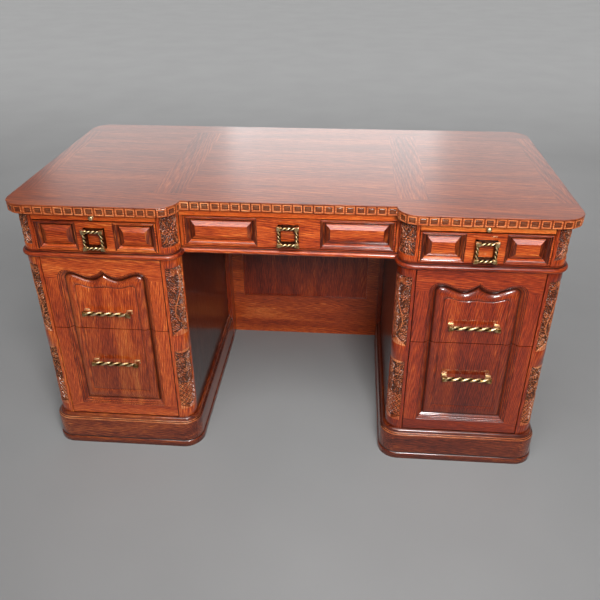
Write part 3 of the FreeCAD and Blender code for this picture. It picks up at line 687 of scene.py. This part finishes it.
# Fielded panel from its edge inwards, as step_inwards takes it; the last value paints shade in the
# grooves of the frame and round the field
PANEL_STEPS = (
    (0.3, 0.0, 0.8), (0.6, 1.4, 0.3), (0.9, 0.5, 0.0), (1.2, -0.4, 0.0), (0.6, -1.1, 0.5),
    (0.5, -0.8, 0.95), (0.4, 0.0, 0.9), (0.5, 0.9, 0.3), (1.4, 0.4, 0.0), (1.4, -0.6, 0.0),
    (0.8, -1.6, 0.4), (0.4, -1.0, 0.95), (0.5, -0.2, 0.6), (2.2, -1.6, 0.05),
    (2.4, -2.4, 0.0), (2.0, -2.2, 0.1), (1.2, -1.0, 0.5), (0.5, -1.0, 0.95), (1.2, 0.0, 1.0),
    (0.4, 1.2, 0.7), (1.0, 0.6, 0.2), (8.5, 4.3, 0.0), (8.6, 4.4, 0.0), (0.3, 0.0, 0.3),
    (0.4, 0.0, 0.05), (2.0, 0.0, 0.05),
)


def split_face(bm, face_y, xs, zs):
    """Cuts the upright faces at one depth along the lines X and Z; returns what they become."""
    def level():
        bm.normal_update()
        return [face for face in bm.faces if face.normal.y < -0.99
                and abs(face.calc_center_median().y - face_y) < TOUCH]
    planes = [((x, 0, 0), (1, 0, 0)) for x in xs] + [((0, 0, z), (0, 0, 1)) for z in zs]
    for place, normal in planes:
        faces = level()
        edges = list({edge for face in faces for edge in face.edges})
        bmesh.ops.bisect_plane(bm, geom=faces + edges + verts_of(faces), plane_co=place,
                               plane_no=normal)
    return level()


def make_frieze_face(name, pull_space):
    """Board with a moulded and fielded panel cut in it on each side of the pull."""
    node = name + "_front"
    lo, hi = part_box(node)
    face_y = hi.y - FRONT_BOARD
    bm, shade_and_glaze = start_mesh()
    sides = add_block(bm, (lo.x, face_y, lo.z), hi)
    front = min(sides, key=lambda face: face.calc_center_median().y)
    darken(front.verts, shade_and_glaze, RIM_SHADE)
    rim = front.verts[:]
    bmesh.ops.inset_individual(bm, faces=[front], thickness=EASED_EDGE / 2)
    darken(front.verts, shade_and_glaze, 0.0)
    bmesh.ops.translate(bm, verts=rim, vec=(0, EASED_EDGE, 0))
    width = (hi.x - lo.x - 2 * PANEL_MARGIN - pull_space) / 2
    starts = (lo.x + PANEL_MARGIN, hi.x - PANEL_MARGIN - width)
    lines = [x for start in starts for x in (start, start + width)]
    middle = (lo.z + hi.z) / 2
    for field in split_face(bm, face_y, lines, (lo.z + PANEL_INSET, hi.z - PANEL_INSET)):
        spot = field.calc_center_median()
        if abs(spot.z - middle) <= PANEL_INSET and any(x < spot.x < x + width for x in starts):
            step_inwards(bm, field, PANEL_STEPS, shade_and_glaze)
    bm.normal_update()
    # Side-facing facets take upright grain and the darker umber stain, which paints shade on the
    # sides of the panels
    for facet in bm.faces:
        facet.material_index = int(abs(facet.normal.x) > max(abs(facet.normal.z), 0.12))
    make_piece(name + "_face", bm, [LEVEL, FRIEZE_SHADED_SIDES], [node], name, sharp=20)


# Arched outlines from the mouth in to the field, as arch_points takes them
ARCH_MOUTH = (126.5, 37.5, 34.5, 36.5, 53, 27, 37)
ARCH_COVE = (109.5, 54.5, 51.5, 53.5, 70, 15, 37)
ARCH_FIELD = (84.5, 91.5, 88.5, 83.5, 92.2, 8, 37)

# Steps from one arch to the next: share of the way, depth in millimetres, then painted shade and
# glaze, darkest in the grooves
COVE_STEPS = (
    (0.0, 0.0, 0.0), (0.02, 0.3, 0.4), (0.05, 1.5, 0.95), (0.08, 1.7, 0.9), (0.1, 1.1, 0.3),
    (0.15, 0.8, 0.1), (0.2, 1.1, 0.1), (0.25, 2.0, 0.4), (0.27, 3.0, 0.95), (0.3, 3.4, 0.8),
    (0.33, 3.2, 0.3), (0.4, 3.6, 0.15), (0.47, 4.8, 0.2), (0.51, 6.2, 0.6), (0.53, 7.0, 0.95),
    (0.56, 7.2, 0.7), (0.6, 7.6, 0.3), (0.7, 9.2, 0.3), (0.8, 11.0, 0.4), (0.9, 12.5, 0.7),
    (0.96, 13.0, 0.95), (1.0, 13.0, 1.0),
)
BAND_STEPS = (
    (0.02, 12.0, 0.9), (0.06, 9.4, 0.7), (0.12, 7.4, 0.5), (0.2, 5.8, 0.4), (0.32, 4.2, 0.3),
    (0.46, 2.9, 0.18), (0.6, 2.1, 0.1), (0.72, 1.8, 0.05), (0.82, 2.1, 0.05), (0.9, 2.9, 0.1),
    (0.96, 4.0, 0.3), (1.0, 4.7, 0.75), (1.03, 4.5, 0.5), (1.06, 3.8, 0.05), (1.1, 3.4, 0.0),
    (1.14, 3.3, 0.0),
)
# Painted shade on the two bottom corners of each band ring, so the band's lower side looks shaded
FOOT_SHADE = 0.4
CURVE_STEPS = 10


def arch_points(shape, middle, low, high):
    """Outline in X and Z: straight sides, round shoulders, two dips and a pointed cusp.

    The shape is its half width, the bottom's rise, the drops of cusp, hump and dip from the
    top, the shoulder's radius and the dip's distance from the middle, in millimetres."""
    half, rise, cusp, hump, dip, shoulder, dip_x = (value * MM for value in shape)
    bottom, cusp, hump, dip = low + rise, high - cusp, high - hump, high - dip
    hump_x = half - shoulder
    shares = [step / CURVE_STEPS for step in range(CURVE_STEPS)]
    right = []
    for turn in (math.pi / 2 * share for share in shares):
        right.append((hump_x + shoulder * math.cos(turn), hump - shoulder * (1 - math.sin(turn))))
    for share in shares:
        swing = (1 + math.cos(math.pi * share)) / 2
        right.append((hump_x + (dip_x - hump_x) * share, dip + (hump - dip) * swing))
    for share in shares:
        right.append((dip_x * (1 - share), dip + (cusp - dip) * share * share))
    left = [(-x, z) for x, z in reversed(right)]
    ring = [(-half, bottom), (half, bottom)] + right + [(0, cusp)] + left
    return [(middle + x, z) for x, z in ring]


def between(first, second, share):
    return tuple(a + (b - a) * share for a, b in zip(first, second))


def build_door(side):
    """Framed door with an arched, swelling panel; later cut into two drawer fronts."""
    upper_lo, upper_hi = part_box(side + "_upper_drawer_front")
    lower_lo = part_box(side + "_lower_drawer_front")[0]
    x0, x1, face_y, back_y = upper_lo.x, upper_hi.x, upper_lo.y, upper_hi.y
    low, high, middle = lower_lo.z, upper_hi.z, (x0 + x1) / 2
    bm, shade_and_glaze = start_mesh()
    rings = [(between(ARCH_MOUTH, ARCH_COVE, share), depth, dark, 0)
             for share, depth, dark in COVE_STEPS]
    rings += [(between(ARCH_COVE, ARCH_FIELD, share), depth, dark, FOOT_SHADE)
              for share, depth, dark in BAND_STEPS]
    mouth = loop = None
    for shape, depth, dark, foot in rings:
        points = [(x, face_y + depth * MM, z) for x, z in arch_points(shape, middle, low, high)]
        if loop:
            loop = grow_chain(bm, loop, points, True)
        else:
            mouth = loop = [bm.verts.new(point) for point in points]
        darken(loop, shade_and_glaze, dark)
        darken(loop[:2], shade_and_glaze, max(dark, foot))
    bmesh.ops.triangle_fill(bm, use_beauty=True, edges=chain_edges(bm, loop, True))
    frame_round_mouth(bm, chain_edges(bm, mouth, True), (x0, x1, low, high), face_y)
    ease_rim(bm, (x0, x1, low, high), shade_and_glaze)
    rim = bmesh.ops.extrude_edge_only(bm, edges=open_edges(bm))["geom"]
    bmesh.ops.translate(bm, verts=only(BMVert, rim), vec=(0, back_y - face_y, 0))
    bmesh.ops.contextual_create(bm, geom=only(BMEdge, rim))
    return bm


def frame_round_mouth(bm, mouth, limits, face_y):
    """Flat stiles and rails from the arched mouth, whose edges start with its foot, to the rim."""
    x0, x1, low, high = limits
    foot, crown = mouth[:1], mouth[2:-1]
    for edges, target in ((crown, high), (foot, low)):
        made = bmesh.ops.extrude_edge_only(bm, edges=edges)["geom"]
        for vert in only(BMVert, made):
            vert.co.z = target
        for face in only(BMFace, made):
            face.material_index = 1
    half = ARCH_MOUTH[0] * MM
    middle = (x0 + x1) / 2
    for edge_x, reach in ((middle - half, x0), (middle + half, x1)):
        line = {v for v in bm.verts
                if abs(v.co.x - edge_x) < TOUCH and abs(v.co.y - face_y) < TOUCH}
        stile = [edge for edge in open_edges(bm) if line.issuperset(edge.verts)]
        made = bmesh.ops.extrude_edge_only(bm, edges=stile)["geom"]
        for vert in only(BMVert, made):
            vert.co.x = reach


def ease_rim(bm, limits, shade_and_glaze):
    """Small slope round the door's outer edge, down to the gap beside it, darkened with painted
    shade.
    """
    x0, x1, low, high = limits
    rim = open_edges(bm)
    corners = {vert: vert.co.copy() for edge in rim for vert in edge.verts}
    for vert in corners:
        vert.co.x = min(max(vert.co.x, x0 + EASED_EDGE), x1 - EASED_EDGE)
        vert.co.z = min(max(vert.co.z, low + EASED_EDGE), high - EASED_EDGE)
    fresh = set(only(BMVert, bmesh.ops.extrude_edge_only(bm, edges=rim)["geom"]))
    for vert, corner in corners.items():
        outer = twin(vert, fresh)
        outer.co = corner + Vector((0, EASED_EDGE, 0))
        outer[shade_and_glaze] = RIM_SHADE


def make_pedestal_faces(side):
    door = build_door(side)
    upper_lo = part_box(side + "_upper_drawer_front")[0].z
    lower_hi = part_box(side + "_lower_drawer_front")[1].z
    for name, height, keep_above in (("upper", upper_lo, True), ("lower", lower_hi, False)):
        bm = door.copy()
        shade_and_glaze = bm.verts.layers.float[SHADE_AND_GLAZE]
        eased = height + (SPLIT_EASE if keep_above else -SPLIT_EASE)
        cut_across(bm, (0, 0, eased), (0, 0, 1))
        cut_across(bm, (0, 0, height), (0, 0, 1), clear_inner=keep_above,
                   clear_outer=not keep_above)
        # Painted shade in the gap between the two drawer fronts: the split edge is pushed back and
        # fully darkened
        for vert in bm.verts:
            if abs(vert.co.z - height) < TOUCH and vert.co.y < FRONT_Y + FRONT_BOARD / 2:
                vert[shade_and_glaze] = 1.0
                vert.co.y += SPLIT_DEPTH
        bmesh.ops.holes_fill(bm, edges=open_edges(bm))
        body = side + "_" + name + "_drawer"
        make_piece(body + "_face", bm, DOOR[side], [body + "_front"], body, sharp=28)
    door.free()


# Carved lengths of the pilasters and corner blocks, in millimetres until make_carving bends them:
# U runs across from the middle, V up from the foot

LEAF_ROW = 5.6
LEAF_COLUMN = 6.4
LEAF_LENGTH = 9
LEAF_REACH = 12
GROUND_PITCH = 4.6
FLUSH_HEIGHT = 4.85
FLUSH_SLOPE = 1.2
LATTICE_TOP = 92
LATTICE_PITCH = 17
LATTICE_SLOPE = 1.25
PETALS = 7
# Painted shade on the carvings: the lower the relief, the darker, up to the deepest value
DEEPEST_SHADE = 0.88
GROUND_SHADE = 1.62
SHADE_FALL = 3.1

VINE_STEM = ((-7, 196), (-11, 172), (-9, 146), (-1, 119), (8, 96), (11, 76), (8, 57), (0, 43),
             (-9, 34))
VINE_BRANCH = ((-9, 146), (-16, 122), (-18, 96), (-15, 68), (-9, 50))
VINE_FLOWERS = ((9, 150, 9), (-5, 88, 9), (15, 112, 7), (-17, 178, 7), (17, 48, 7))
HUSK_BORDER = ((-25, 20), (0, 7), (25, 20))
HUSK_FLOWERS = ((10, 34, 9), (-12, 40, 9), (0, 70, 8), (16, 84, 7))


def ridge(u, v, points, width, height, taper):
    """Height of one carved stem or leaf that follows a few points; taper thins both ends."""
    raised = np.zeros_like(u)
    count = len(points) - 1
    for index, ((u0, v0), (u1, v1)) in enumerate(zip(points, points[1:])):
        du, dv = u1 - u0, v1 - v0
        share = np.clip(((u - u0) * du + (v - v0) * dv) / (du * du + dv * dv), 0, 1)
        reach = np.hypot(u - u0 - share * du, v - v0 - share * dv)
        along = (index + share) / count
        swell = np.maximum(np.sin(np.pi * np.clip(along, 0.02, 0.98)), 0.05) ** taper
        ratio = np.clip(reach / (width * swell), 0, 1)
        raised = np.maximum(raised, height * np.sqrt(1 - ratio ** 2) * swell ** 0.5)
    return raised


def leaf_points(u, v, angle, length, bend):
    """Leaf that sets out at an angle from a point and bends as it goes, in degrees."""
    points = [(u, v)]
    for step in range(6):
        turn = math.radians(angle + bend * step / 5)
        u += math.cos(turn) * length / 6
        v += math.sin(turn) * length / 6
        points.append((u, v))
    return points


def spiral_points(u, v, start, turns, outer, inner):
    points = []
    for step in range(19):
        share = step / 18
        turn = math.radians(start) + 2 * math.pi * turns * share
        radius = outer + (inner - outer) * share
        points.append((u + radius * math.cos(turn), v + radius * math.sin(turn)))
    return points


def boss(u, v, at_u, at_v, radius, height):
    ratio = np.clip(np.hypot(u - at_u, v - at_v) / radius, 0, 1)
    return height * np.sqrt(1 - ratio ** 2)


def flush_ground(depth_left):
    """Wood left uncarved where the depth is above zero, with a soft cut edge."""
    return np.clip(depth_left / FLUSH_SLOPE, 0, 1) * FLUSH_HEIGHT


def small_leaves(u, v, low, high, lean, seed):
    """Short overlapping leaves between two heights; lean gives each one's angle from its place."""
    scatter = np.random.RandomState(seed)
    across, along = np.pi * (v + u) / GROUND_PITCH, np.pi * (v - u) / GROUND_PITCH
    raised = 1.6 * np.abs(np.cos(across) * np.cos(along))
    for row in range(round((high - low) / LEAF_ROW)):
        for column in range(-4, 5):
            at_u = (column + row % 2 / 2) * LEAF_COLUMN + scatter.uniform(-1.5, 1.5)
            at_v = low + row * LEAF_ROW + scatter.uniform(-1.2, 1.2)
            angle = lean(at_u, at_v) + scatter.uniform(-25, 25)
            points = leaf_points(at_u, at_v, angle, LEAF_LENGTH, scatter.uniform(-60, 60))
            near = np.flatnonzero(np.hypot(u - at_u, v - at_v) < LEAF_REACH)
            width = scatter.uniform(1.5, 2.1)
            height = scatter.uniform(3.0, 4.8)
            leaf = ridge(u[near], v[near], points, width, height, 0.6)
            raised[near] = np.maximum(raised[near], leaf)
    return raised


def spread_leaves(spread):
    """Lean of leaves that turn from upright to both sides by one angle."""
    return lambda at_u, at_v: 90 - spread * math.copysign(1, at_u)


def flower(u, v, at_u, at_v, reach):
    """Round bud in a ring of petals."""
    layers = [boss(u, v, at_u, at_v, reach * 0.34, 4.8)]
    for step in range(PETALS):
        angle = 360 / PETALS * step
        turn = math.radians(angle)
        root = (at_u + reach * 0.4 * math.cos(turn), at_v + reach * 0.4 * math.sin(turn))
        petal = leaf_points(*root, angle, reach * 0.7, 0)
        layers.append(ridge(u, v, petal, reach * 0.24, 4.7, 0.6))
    return np.maximum.reduce(layers)


def vine_carving(u, v, length):
    """Winding stem with flowers in its bends, on a ground of small leaves above a plain shield."""
    shield = 21 * np.clip(1 - np.abs(u) / 25, 0, 1) ** 0.75 - v
    layers = [flush_ground(shield), ridge(u, v, VINE_STEM, 2.0, 4.8, 0.0),
              ridge(u, v, VINE_BRANCH, 1.4, 4.4, 0.1),
              small_leaves(u, v, 2, length - 2, spread_leaves(50), 3)]
    for at_u, at_v, reach in VINE_FLOWERS:
        layers.append(flower(u, v, at_u, at_v, reach))
    for step in range(9):
        fan = leaf_points(0, length - 24, 10 + 20 * step, 24, 6 * (step - 4))
        layers.append(ridge(u, v, fan, 2.1, 4.7, 0.6))
    for hand in (-1, 1):
        for step in range(3):
            head = leaf_points(hand * 3, 25 + 5.5 * step, 90 - 115 * hand, 24, 12 * hand)
            layers.append(ridge(u, v, head, 1.8, 4.4, 0.5))
    return np.maximum.reduce(layers)


def husk_carving(u, v, length):
    """Leaves and flowers that run down into a lattice, closed below by a pointed border."""
    layers = [flush_ground(v - length + 9 * np.sqrt(np.clip(1 - (u / 22) ** 2, 0, 1))),
              flush_ground(13 * np.abs(u) / 25 + 3 - v), ridge(u, v, HUSK_BORDER, 1.6, 4.8, 0.0),
              small_leaves(u, v, LATTICE_TOP, length - 2, spread_leaves(55), 5)]
    for at_u, down, reach in HUSK_FLOWERS:
        layers.append(flower(u, v, at_u, length - down, reach))
    below = np.clip((LATTICE_TOP + 8 - v) / 8, 0, 1) * np.clip((v - 13) / 6, 0, 1)
    across, along = LATTICE_SLOPE * u, v
    for hand in (-1, 1):
        wave = np.cos(2 * np.pi * (along + hand * across) / LATTICE_PITCH)
        layers.append(4.6 * np.sqrt(np.clip(wave * 2.2 - 0.9, 0, 1)) * below)
    dots = np.cos(2 * np.pi * along / LATTICE_PITCH) * np.cos(2 * np.pi * across / LATTICE_PITCH)
    layers.append(4.2 * np.sqrt(np.clip(-dots * 2.4 - 1.2, 0, 1)) * below)
    return np.maximum.reduce(layers)


def scroll_carving(u, v, length):
    """Flower in the middle of a frieze block, with a leaf to each corner over small leaves."""
    middle = length / 2

    def outwards(at_u, at_v):
        return math.degrees(math.atan2(at_v - middle, at_u))
    layers = [flower(u, v, 0, middle, 12), small_leaves(u, v, 2, length - 4, outwards, 9)]
    for hand in (-1, 1):
        for upward in (-1, 1):
            lean = math.degrees(math.atan2(upward * 40, hand * 23))
            leaf = leaf_points(hand * 7, middle + 11 * upward, lean, 30, 12)
            layers.append(ridge(u, v, leaf, 1.9, 4.8, 0.4))
        for at_u, at_v, start in ((17 * hand, middle, 90), (0, middle + 29 * hand, 0)):
            scroll = spiral_points(at_u, at_v, start, 1.3 * hand, 7, 1.5)
            layers.append(ridge(u, v, scroll, 1.6, 4.5, 0.2))
    return np.maximum.reduce(layers)


def make_carving(name, corner_x, turn, heights, carve):
    """Relief on the rounded corner, inside the sunk ground of the post it stands on."""
    low, high = heights
    edge = math.acos(1 - (CORNER_ROUND - CARVING_EDGE) / CORNER_ROUND)
    half_turn = edge - math.pi / 4
    half_arc = half_turn * CORNER_ROUND
    bm, shade_and_glaze = start_mesh()
    bmesh.ops.create_grid(bm, x_segments=round(2 * half_arc / CARVING_GRAIN),
                          y_segments=round((high - low) / CARVING_GRAIN), size=1)
    rim = open_edges(bm)
    border = {vert for edge in rim for vert in edge.verts}
    flat = np.array([vert.co.xy for vert in bm.verts])
    across = flat[:, 0] * CARVING_HALF
    above = (flat[:, 1] + 1) / 2 * (high - low) / MM
    raised = carve(across, above, (high - low) / MM)
    ground = CORNER_ROUND - CARVING_DEPTH
    centre_x, centre_y = corner_x + turn * CORNER_ROUND, FRONT_Y + CORNER_ROUND
    for vert, (x, y), height in zip(bm.verts, flat, raised):
        angle = math.pi / 4 + x * half_turn
        radius = ground - CARVING_SINK if vert in border else ground + height * MM
        # Painted shade: the deeper the carved ground lies, the darker it is
        vert[shade_and_glaze] = max(0.0, min(DEEPEST_SHADE, GROUND_SHADE - height / SHADE_FALL))
        vert.co = (centre_x - turn * radius * math.cos(angle),
                   centre_y - radius * math.sin(angle), low + (y + 1) / 2 * (high - low))
    bmesh.ops.holes_fill(bm, edges=rim)
    make_piece(name, bm, [CARVED], sharp=60)


# Brass

def twisted_bar(half_length, half, turns):
    """Flat bar twisted about the X axis, so that two ridges wind round it."""
    bar, shade_and_glaze = start_mesh()
    bmesh.ops.create_circle(bar, cap_ends=True, segments=24, radius=half)
    bmesh.ops.rotate(bar, verts=bar.verts, matrix=Matrix.Rotation(math.pi / 2, 3, "Y"))
    for vert in bar.verts:
        crest = (1 + math.cos(2 * math.atan2(vert.co.z, vert.co.y))) / 2
        vert[shade_and_glaze] = 1 - crest
        vert.co *= FLAT_SHARE + (1 - FLAT_SHARE) * crest
        vert.co.x = -half_length
    section = bar.verts[:] + bar.edges[:] + bar.faces[:]
    bmesh.ops.spin(bar, geom=section, cent=(0, 0, 0), axis=(1, 0, 0), steps=TWIST_STEPS,
                   angle=-2 * math.pi * turns, dvec=(2 * half_length / TWIST_STEPS, 0, 0))
    return bar


def merge(bm, part):
    """Adds a second bmesh to the first and frees it."""
    carrier = bpy.data.meshes.new("carrier")
    part.to_mesh(carrier)
    part.free()
    bm.from_mesh(carrier)
    bpy.data.meshes.remove(carrier)


def add_pull_post(bm, x, z, seat, front):
    """Post from the pull back to the drawer, with a thin wider foot."""
    for wider, start in ((0, front), (MM, seat - 2 * MM)):
        reach_x, reach_z = BLOCK_HALF + wider, POST_HALF + wider
        add_block(bm, (x - reach_x, start, z - reach_z), (x + reach_x, seat, z + reach_z))


def make_square_pull(name):
    node = name + "_pull"
    lo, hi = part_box(node)
    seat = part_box(name + "_front")[1].y - FRONT_BOARD
    half = PULL_BAR / 2
    centre = Vector(((lo.x + hi.x) / 2, lo.y + half, (lo.z + hi.z) / 2 - PULL_DROP))
    reach = PULL_SIZE / 2 - half
    inner, outer, thick = reach - half * 1.2, reach + half, half * 1.05
    near, far = reach - WALL_HALF, reach + WALL_HALF
    bm, shade_and_glaze = start_mesh()
    for quarter in range(4):
        place = Matrix.Translation(centre) @ Matrix.Rotation(math.pi / 2 * quarter, 4, "Y")
        bar = twisted_bar(reach, half * RING_SHARE, RING_TURNS)
        bmesh.ops.transform(bar, matrix=place @ Matrix.Translation((0, 0, reach)), verts=bar.verts)
        merge(bm, bar)
        corner = verts_of(add_block(bm, (inner, -thick, inner), (outer, thick, outer)))
        darken(corner, shade_and_glaze, 0.3)
        for vert in corner:
            if vert.co.x > reach and vert.co.z > reach:
                vert.co += Vector((CORNER_POINT, 0, CORNER_POINT))
        # Walls from the ring back to the board, fully darkened: painted shade on the sides of the
        # deep ring
        wall = verts_of(add_block(bm, (-far, 0, near), (far, seat - centre.y, far)))
        darken(wall, shade_and_glaze, 1.0)
        bmesh.ops.transform(bm, matrix=place, verts=corner + wall)
    make_piece(name + "_ring_pull", bm, [BRASS], [node], name, 50, PULL_BEVEL)


def make_bar_pull(name):
    node = name + "_pull"
    lo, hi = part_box(node)
    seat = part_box(name + "_front")[0].y + FIELD_SINK
    half = BLOCK_HALF
    centre = Vector(((lo.x + hi.x) / 2, lo.y + half, (lo.z + hi.z) / 2))
    reach = (hi.x - lo.x) / 2
    bm, shade_and_glaze = start_mesh()
    bar = twisted_bar(reach - BAR_BLOCK / 2, BAR_HALF, BAR_TURNS)
    bmesh.ops.translate(bar, verts=bar.verts, vec=centre)
    merge(bm, bar)
    for hand in (-1, 1):
        start, end = sorted((hand * (reach - BAR_BLOCK), hand * reach))
        block = verts_of(add_block(bm, (start, -half, -half), (end, half, half)))
        darken(block, shade_and_glaze, 0.5)
        for vert in block:
            if abs(vert.co.x) < reach - MM:
                vert.co.y *= 0.8
                vert.co.z *= 0.8
        bmesh.ops.translate(bm, verts=block, vec=centre)
        spot = centre.x + hand * (reach - BAR_BLOCK / 2)
        add_pull_post(bm, spot, centre.z, seat, centre.y + half / 2)
    make_piece(name + "_bar_pull", bm, [BRASS], [node], name, 50, PULL_BEVEL)


# Turned knob from its seat outwards: radius and reach in millimetres
KNOB_SECTION = (
    (0, 0), (4.6, 0), (4.6, 1), (3, 1.8), (2.6, 4.4), (3.6, 6), (5.6, 7.6), (6.4, 9.4),
    (6, 11.4), (4.4, 12.8), (2, 13.4), (0, 13.5),
)


def make_knob(side):
    node = side + "_slide_knob"
    lo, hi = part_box(node)
    centre = (lo + hi) / 2
    bm = start_mesh()[0]
    verts = [bm.verts.new((centre.x + radius * MM, hi.y - out * MM, centre.z))
             for radius, out in KNOB_SECTION]
    turned = verts + chain_edges(bm, verts, False)
    bmesh.ops.spin(bm, geom=turned, cent=centre, axis=(0, 1, 0), angle=2 * math.pi, steps=24,
                   use_merge=True)
    bmesh.ops.remove_doubles(bm, verts=bm.verts, dist=WELD_REACH)
    make_piece(node + "_turned", bm, [BRASS], [node], side + "_slide", 45)


# CAD pieces that keep their shape

CAD_BEVEL = 0.8 * MM
CAD_SHARP = 35
HIDDEN_ENDINGS = ("_box", "_guides", "_floor", "_divider", "_runners")
CAD_FINISH = {
    "modesty_frame": MODESTY_RAIL,
    "modesty_panel": MODESTY_FIELD,
    "centre_top_rail": SLIDE_PAINTED_LIGHT["left"],
    "left_writing_slide": SLIDE_PAINTED_LIGHT["left"],
    "right_writing_slide": SLIDE_PAINTED_LIGHT["right"],
    "left_inner_side": SHADED,
    "right_inner_side": SHADED,
    "kneehole_posts": DOOR["right"][0],
    "right_inner_pilaster": DOOR["right"][0],
    "right_outer_pilaster": DOOR["right"][0],
}


def dress_cad_nodes():
    for name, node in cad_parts.items():
        if node.hide_render:
            continue
        veneered = name.startswith("top_")
        if name.endswith(HIDDEN_ENDINGS):
            material = SANDED
        elif veneered:
            material = VENEER
        else:
            material = CAD_FINISH.get(name, UPRIGHT)
        node.data.materials.clear()
        node.data.materials.append(material)
        if not veneered:
            weld = node.modifiers.new("welded_facets", "WELD")
            weld.merge_threshold = WELD_REACH
            ease_edges(node, CAD_BEVEL, CAD_SHARP)


# Studio

def make_floor():
    bm = bmesh.new()
    bmesh.ops.create_grid(bm, x_segments=1, y_segments=1, size=40)
    floor = link("studio_floor", mesh_from("studio_floor", bm, [studio_floor()]))


# Soft lights: name, place, target, width and height in metres, power in watts, spread in degrees
SOFTBOXES = (
    ("front_softbox", (0.5, -2.0, 1.7), (0.1, 0, 0.6), 0.5, 0.4, 21.5, 130),
    ("high_softbox", (0.1, -1.5, 2.6), (0, 0, 0.75), 2.4, 1.4, 26, 120),
    ("left_back_softbox", (-1.2, 2.3, 1.4), (-0.4, 0, 0.8), 1.3, 0.7, 4.9, 180),
    ("middle_back_softbox", (0.03, 2.3, 1.4), (0.01, 0, 0.8), 1.3, 0.7, 8.6, 180),
    ("right_back_softbox", (1.25, 2.3, 1.4), (1.25 / 3, 0, 0.8), 1.3, 0.7, 4.6, 180),
    ("far_floor_softbox", (0, 14.2, 4), (0, 14.2, 0), 30, 24, 2660, 100),
    ("near_floor_softbox", (0, -18.6, 4), (0, -18.6, 0), 30, 24, 2660, 100),
)


def add_softbox(name, place, target, width, height, power, spread):
    lamp = bpy.data.lights.new(name, "AREA")
    lamp.shape = "RECTANGLE"
    lamp.size = width
    lamp.size_y = height
    lamp.energy = power
    lamp.spread = math.radians(spread)
    holder = link(name, lamp)
    holder.location = place
    holder.rotation_euler = (Vector(target) - Vector(place)).to_track_quat("-Z", "Y").to_euler()
    holder.visible_camera = False


def light_studio():
    for softbox in SOFTBOXES:
        add_softbox(*softbox)
    world = bpy.data.worlds.new("studio_air")
    world.use_nodes = True
    air = world.node_tree.nodes["Background"].inputs
    air["Color"].default_value = linear("#9a9a9a")
    air["Strength"].default_value = 0.42
    bpy.context.scene.world = world
    bpy.context.scene.view_settings.view_transform = "Standard"


# Place, turns in radians and lens of the photograph's view
EYE = Vector((158.98, -1862.91, 1416.07)) * MM
YAW, PITCH, ROLL = -0.0819, 0.5278, 0.0040
FOCAL_PIXELS, FRAME_PIXELS = 659.22, 600
SENSOR_MM = 36


def add_camera():
    ahead = Vector((math.sin(YAW), math.cos(YAW), 0))
    forward = ahead * math.cos(PITCH) - Vector((0, 0, math.sin(PITCH)))
    level = Vector((math.cos(YAW), -math.sin(YAW), 0))
    down = forward.cross(level)
    right = level * math.cos(ROLL) + down * math.sin(ROLL)
    up = level * math.sin(ROLL) - down * math.cos(ROLL)
    lens = bpy.data.cameras.new("photo_view")
    lens.sensor_width = SENSOR_MM
    lens.lens = SENSOR_MM * FOCAL_PIXELS / FRAME_PIXELS
    camera = link("photo_view", lens)
    turned = Matrix((right, up, -forward)).transposed().to_4x4()
    camera.matrix_world = Matrix.Translation(EYE) @ turned
    bpy.context.scene.camera = camera


CARVINGS = (
    ("vine", UPPER_CARVING, vine_carving),
    ("husk", LOWER_CARVING, husk_carving),
    ("scroll", BLOCK_CARVING, scroll_carving),
)

make_edge_squares()
make_centre_rail()
make_frieze_face("centre_drawer", CENTRE_PULL_SPACE)
make_square_pull("centre_drawer")
for side, sign in SIDES:
    make_waist(side, sign)
    make_plinth(side, sign)
    make_frieze_face(side + "_frieze_drawer", SIDE_PULL_SPACE)
    make_square_pull(side + "_frieze_drawer")
    make_pedestal_faces(side)
    make_bar_pull(side + "_upper_drawer")
    make_bar_pull(side + "_lower_drawer")
    make_knob(side)
    for post, corner_x, turn in (("inner", INNER_X, 1), ("outer", OUTER_X, -1)):
        for kind, heights, carve in CARVINGS:
            name = "_".join((side, post, kind, "carving"))
            make_carving(name, sign * corner_x, sign * turn, heights, carve)
dress_cad_nodes()
make_floor()
light_studio()
add_camera()
